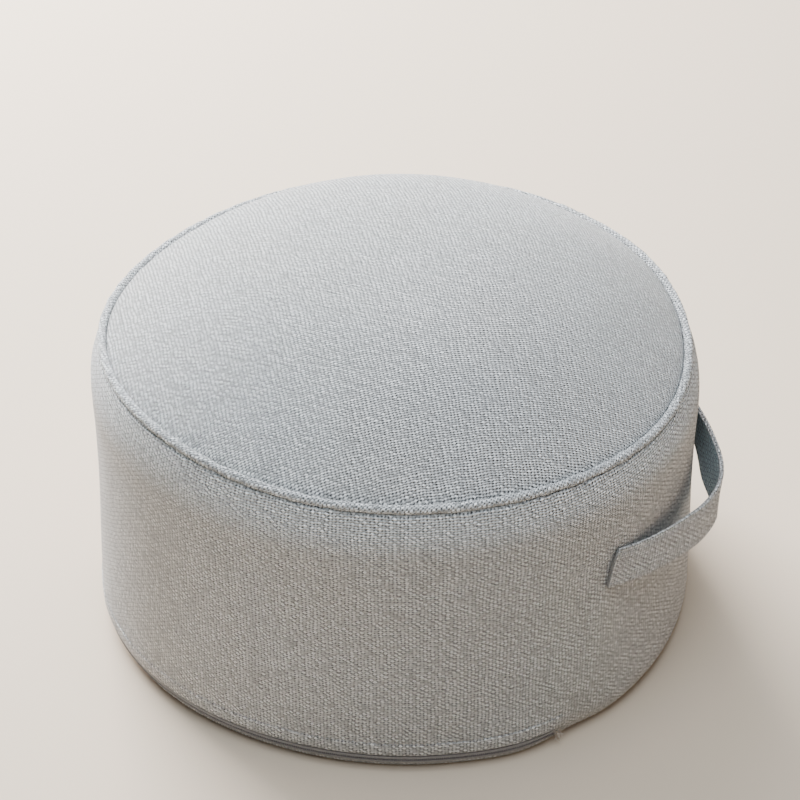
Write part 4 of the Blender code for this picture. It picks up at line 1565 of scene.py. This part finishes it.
@dataclass
class FrayedEnds:
    """Cut thread ends that stick out where the zip stops."""

    form: PoufForm
    count: int = 11
    sides: int = 6
    rings: int = 12
    thread_radius: float = 0.00030
    tip_share: float = 0.5
    curl: float = 0.0012
    curl_turns: tuple[float, float] = (0.6, 1.3)
    reach: tuple[float, float] = (0.0035, 0.0080)
    bend_share: float = 0.4
    past_zip: float = 1.2
    along: tuple[float, float] = (-0.6, 0.5)
    rise: tuple[float, float] = (-0.7, 0.5)
    sideways: tuple[float, float] = (-0.7, 0.9)
    lowest: float = 0.0045
    tuft_height: float = 0.0065
    rooted: float = 0.0005
    floor_gap: float = 0.0008
    seed: int = 17

    def build(self) -> bpy.types.Object:
        """Build the tuft as short bent threads.

        Returns:
            The piece.
        """
        picker = np.random.default_rng(self.seed)
        azimuth = np.array(self.form.zip_to + self.past_zip)
        meshes = []
        for k in range(self.count):
            level = np.array(self.lowest + self.tuft_height * k / self.count)
            root = self.form.side_radius(azimuth, level) - self.rooted
            start = round_points(azimuth + picker.uniform(*self.along), root, level)
            outward = unit(start * np.array((1.0, 1.0, 0.0)))
            aim = unit(outward + np.array((0.0, 0.0, picker.uniform(*self.rise))) +
                       np.cross((0.0, 0.0, 1.0), outward) * picker.uniform(*self.sideways))
            reach = picker.uniform(*self.reach)
            bend = unit(picker.normal(size=3)) * reach * self.bend_share
            other = unit(np.cross(aim, bend))
            t = np.linspace(0.0, 1.0, self.rings)[:, None]
            turn = 2.0 * math.pi * (picker.uniform(*self.curl_turns) * t + picker.uniform())
            curl = self.curl * t * (unit(bend) * np.cos(turn) + other * np.sin(turn))
            line = start + aim * reach * t + bend * t ** 2 + curl
            line[:, 2] = np.maximum(line[:, 2], self.floor_gap)
            meshes.append(self._thread(line))
        points = np.concatenate(meshes, axis=0)
        faces = []
        ring = self.sides
        for k in range(self.count):
            base = k * self.rings * ring
            for i in range(self.rings - 1):
                for j in range(ring):
                    a, b = base + i * ring + j, base + i * ring + (j + 1) % ring
                    faces.append((a, b, b + ring, a + ring))
            faces.append(tuple(base + j for j in range(ring - 1, -1, -1)))
            faces.append(tuple(base + (self.rings - 1) * ring + j for j in range(ring)))
        mesh = bpy.data.meshes.new("frayed_thread_ends")
        mesh.from_pydata(points.tolist(), [], faces)
        mesh.shade_smooth()
        piece = add_piece("frayed_thread_ends", mesh, FRAYED_YARN.material())
        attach(piece, BODY)
        return piece

    def _thread(self, line: Array) -> Array:
        """Return the rings of points round one thread.

        Args:
            line: the thread's middle line.

        Returns:
            All its rings' points, in order.
        """
        along = unit(np.gradient(line, axis=0))
        side = unit(np.cross(along, np.array((0.3, 0.2, 1.0))))
        other = np.cross(along, side)
        rings = []
        for at, u, v, share in zip(line, side, other, np.linspace(1.0, self.tip_share, len(line))):
            for j in range(self.sides):
                turn = 2.0 * math.pi * j / self.sides
                rings.append(at + self.thread_radius * share * (u * math.cos(turn) + v * math.sin(turn)))
        return np.array(rings)


@dataclass
class Studio:
    """The camera at the photograph's viewing angle, the floor and the soft light."""

    camera_at: tuple[float, float, float] = (0.7031, -1.5791, 1.4924)
    looking: tuple[float, float, float] = (-0.32244, 0.72495, -0.60867)
    camera_up: tuple[float, float, float] = (-0.23974, 0.55951, 0.7934)
    lens_mm: float = 139.5
    sensor_mm: float = 36.0
    floor_size: float = 12.0
    floor_colour: str = "DCCBB6"
    floor_roughness: float = 0.85
    light_size: float = 1.5
    light_distance: float = 2.4
    lit_height: float = 0.12
    right: tuple[float, float, float] = (0.9135, 0.4067, 0.0)
    away: tuple[float, float, float] = (-0.4067, 0.9135, 0.0)
    room_colour: str = "FBFCFF"
    room_strength: float = 0.108

    def camera(self) -> bpy.types.Object:
        """Set up the camera where the photograph was taken from.

        Returns:
            The camera.
        """
        data = bpy.data.cameras.new("camera")
        data.lens = self.lens_mm
        data.sensor_width = self.sensor_mm
        data.clip_end = 50.0
        camera = bpy.data.objects.new("camera", data)
        back = -Vector(self.looking).normalized()
        up = Vector(self.camera_up)
        side = up.cross(back).normalized()
        up = back.cross(side)
        camera.matrix_world = Matrix((
            (side.x, up.x, back.x, self.camera_at[0]), (side.y, up.y, back.y, self.camera_at[1]),
            (side.z, up.z, back.z, self.camera_at[2]), (0.0, 0.0, 0.0, 1.0)))
        bpy.context.scene.collection.objects.link(camera)
        bpy.context.scene.camera = camera
        return camera

    def floor(self) -> bpy.types.Object:
        """Lay the plain pale floor, rolled with matte paint, so it takes soft shadows and doesn't shine.

        Returns:
            The floor.
        """
        half = self.floor_size / 2.0
        mesh = bpy.data.meshes.new("floor")
        corners = [(-half, -half, 0.0), (half, -half, 0.0), (half, half, 0.0), (-half, half, 0.0)]
        mesh.from_pydata(corners, [], [(0, 1, 2, 3)])
        material, _, _ = start_material("painted_floor", {
            "Base Color": linear_colour(self.floor_colour), "Roughness": self.floor_roughness})
        floor = add_piece("floor", mesh, material)
        return floor

    def light(self, name: str, azimuth: float, elevation: float, power: float, colour: str) -> None:
        """Hang one soft square light that faces the pouf.

        Args:
            name: the light's name.
            azimuth: where it hangs, anticlockwise from the camera's right.
            elevation: how high it hangs over the floor, in degrees.
            power: its power in watts.
            colour: its colour.
        """
        data = bpy.data.lights.new(name, "AREA")
        data.size = self.light_size
        data.energy = power
        data.color = linear_colour(colour)[:3]
        lamp = bpy.data.objects.new(name, data)
        turn, rise = math.radians(azimuth), math.radians(elevation)
        level = Vector(self.right) * math.cos(turn) + Vector(self.away) * math.sin(turn)
        at = (level * math.cos(rise) + Vector((0.0, 0.0, math.sin(rise)))) * self.light_distance
        lamp.location = at
        lamp.rotation_euler = (at - Vector((0.0, 0.0, self.lit_height))).to_track_quat("Z", "Y").to_euler()
        bpy.context.scene.collection.objects.link(lamp)

    def build(self) -> None:
        """Set up the camera, the floor and all the light."""
        self.camera()
        self.floor()
        self.light("low_window", azimuth=120.0, elevation=22.0, power=258.0, colour="FFFCFA")
        self.light("high_window", azimuth=120.0, elevation=50.0, power=63.0, colour="F2F8FF")
        self.light("front_ceiling", azimuth=270.0, elevation=70.0, power=35.0, colour="EAF6FF")
        self.light("warm_bounce", azimuth=-20.0, elevation=9.0, power=7.0, colour="FFD8B4")
        self.light("ceiling", azimuth=90.0, elevation=88.0, power=20.0, colour="FFFFFF")
        world = bpy.data.worlds.new("soft_room")
        world.use_nodes = True
        background = world.node_tree.nodes["Background"]
        background.inputs["Color"].default_value = linear_colour(self.room_colour)
        background.inputs["Strength"].default_value = self.room_strength
        bpy.context.scene.world = world


def main() -> None:
    """Build the dressed pouf in its studio."""
    logging.basicConfig(level=logging.INFO, format="%(name)s: %(message)s")
    form = PoufForm()
    Studio().build()
    folds = FilledCover(form).press()
    side = SidePanel(form, folds)
    side.build()
    side.hem_stitches()
    TopPanel(form, folds).build()
    BasePanel(form).build()
    Piping(form).build()
    strap = Strap(form)
    strap.build()
    strap.stitches()
    Zip(form).build()
    FrayedEnds(form).build()
    log.info("all pieces built")


if __name__ == "__main__":
    main()
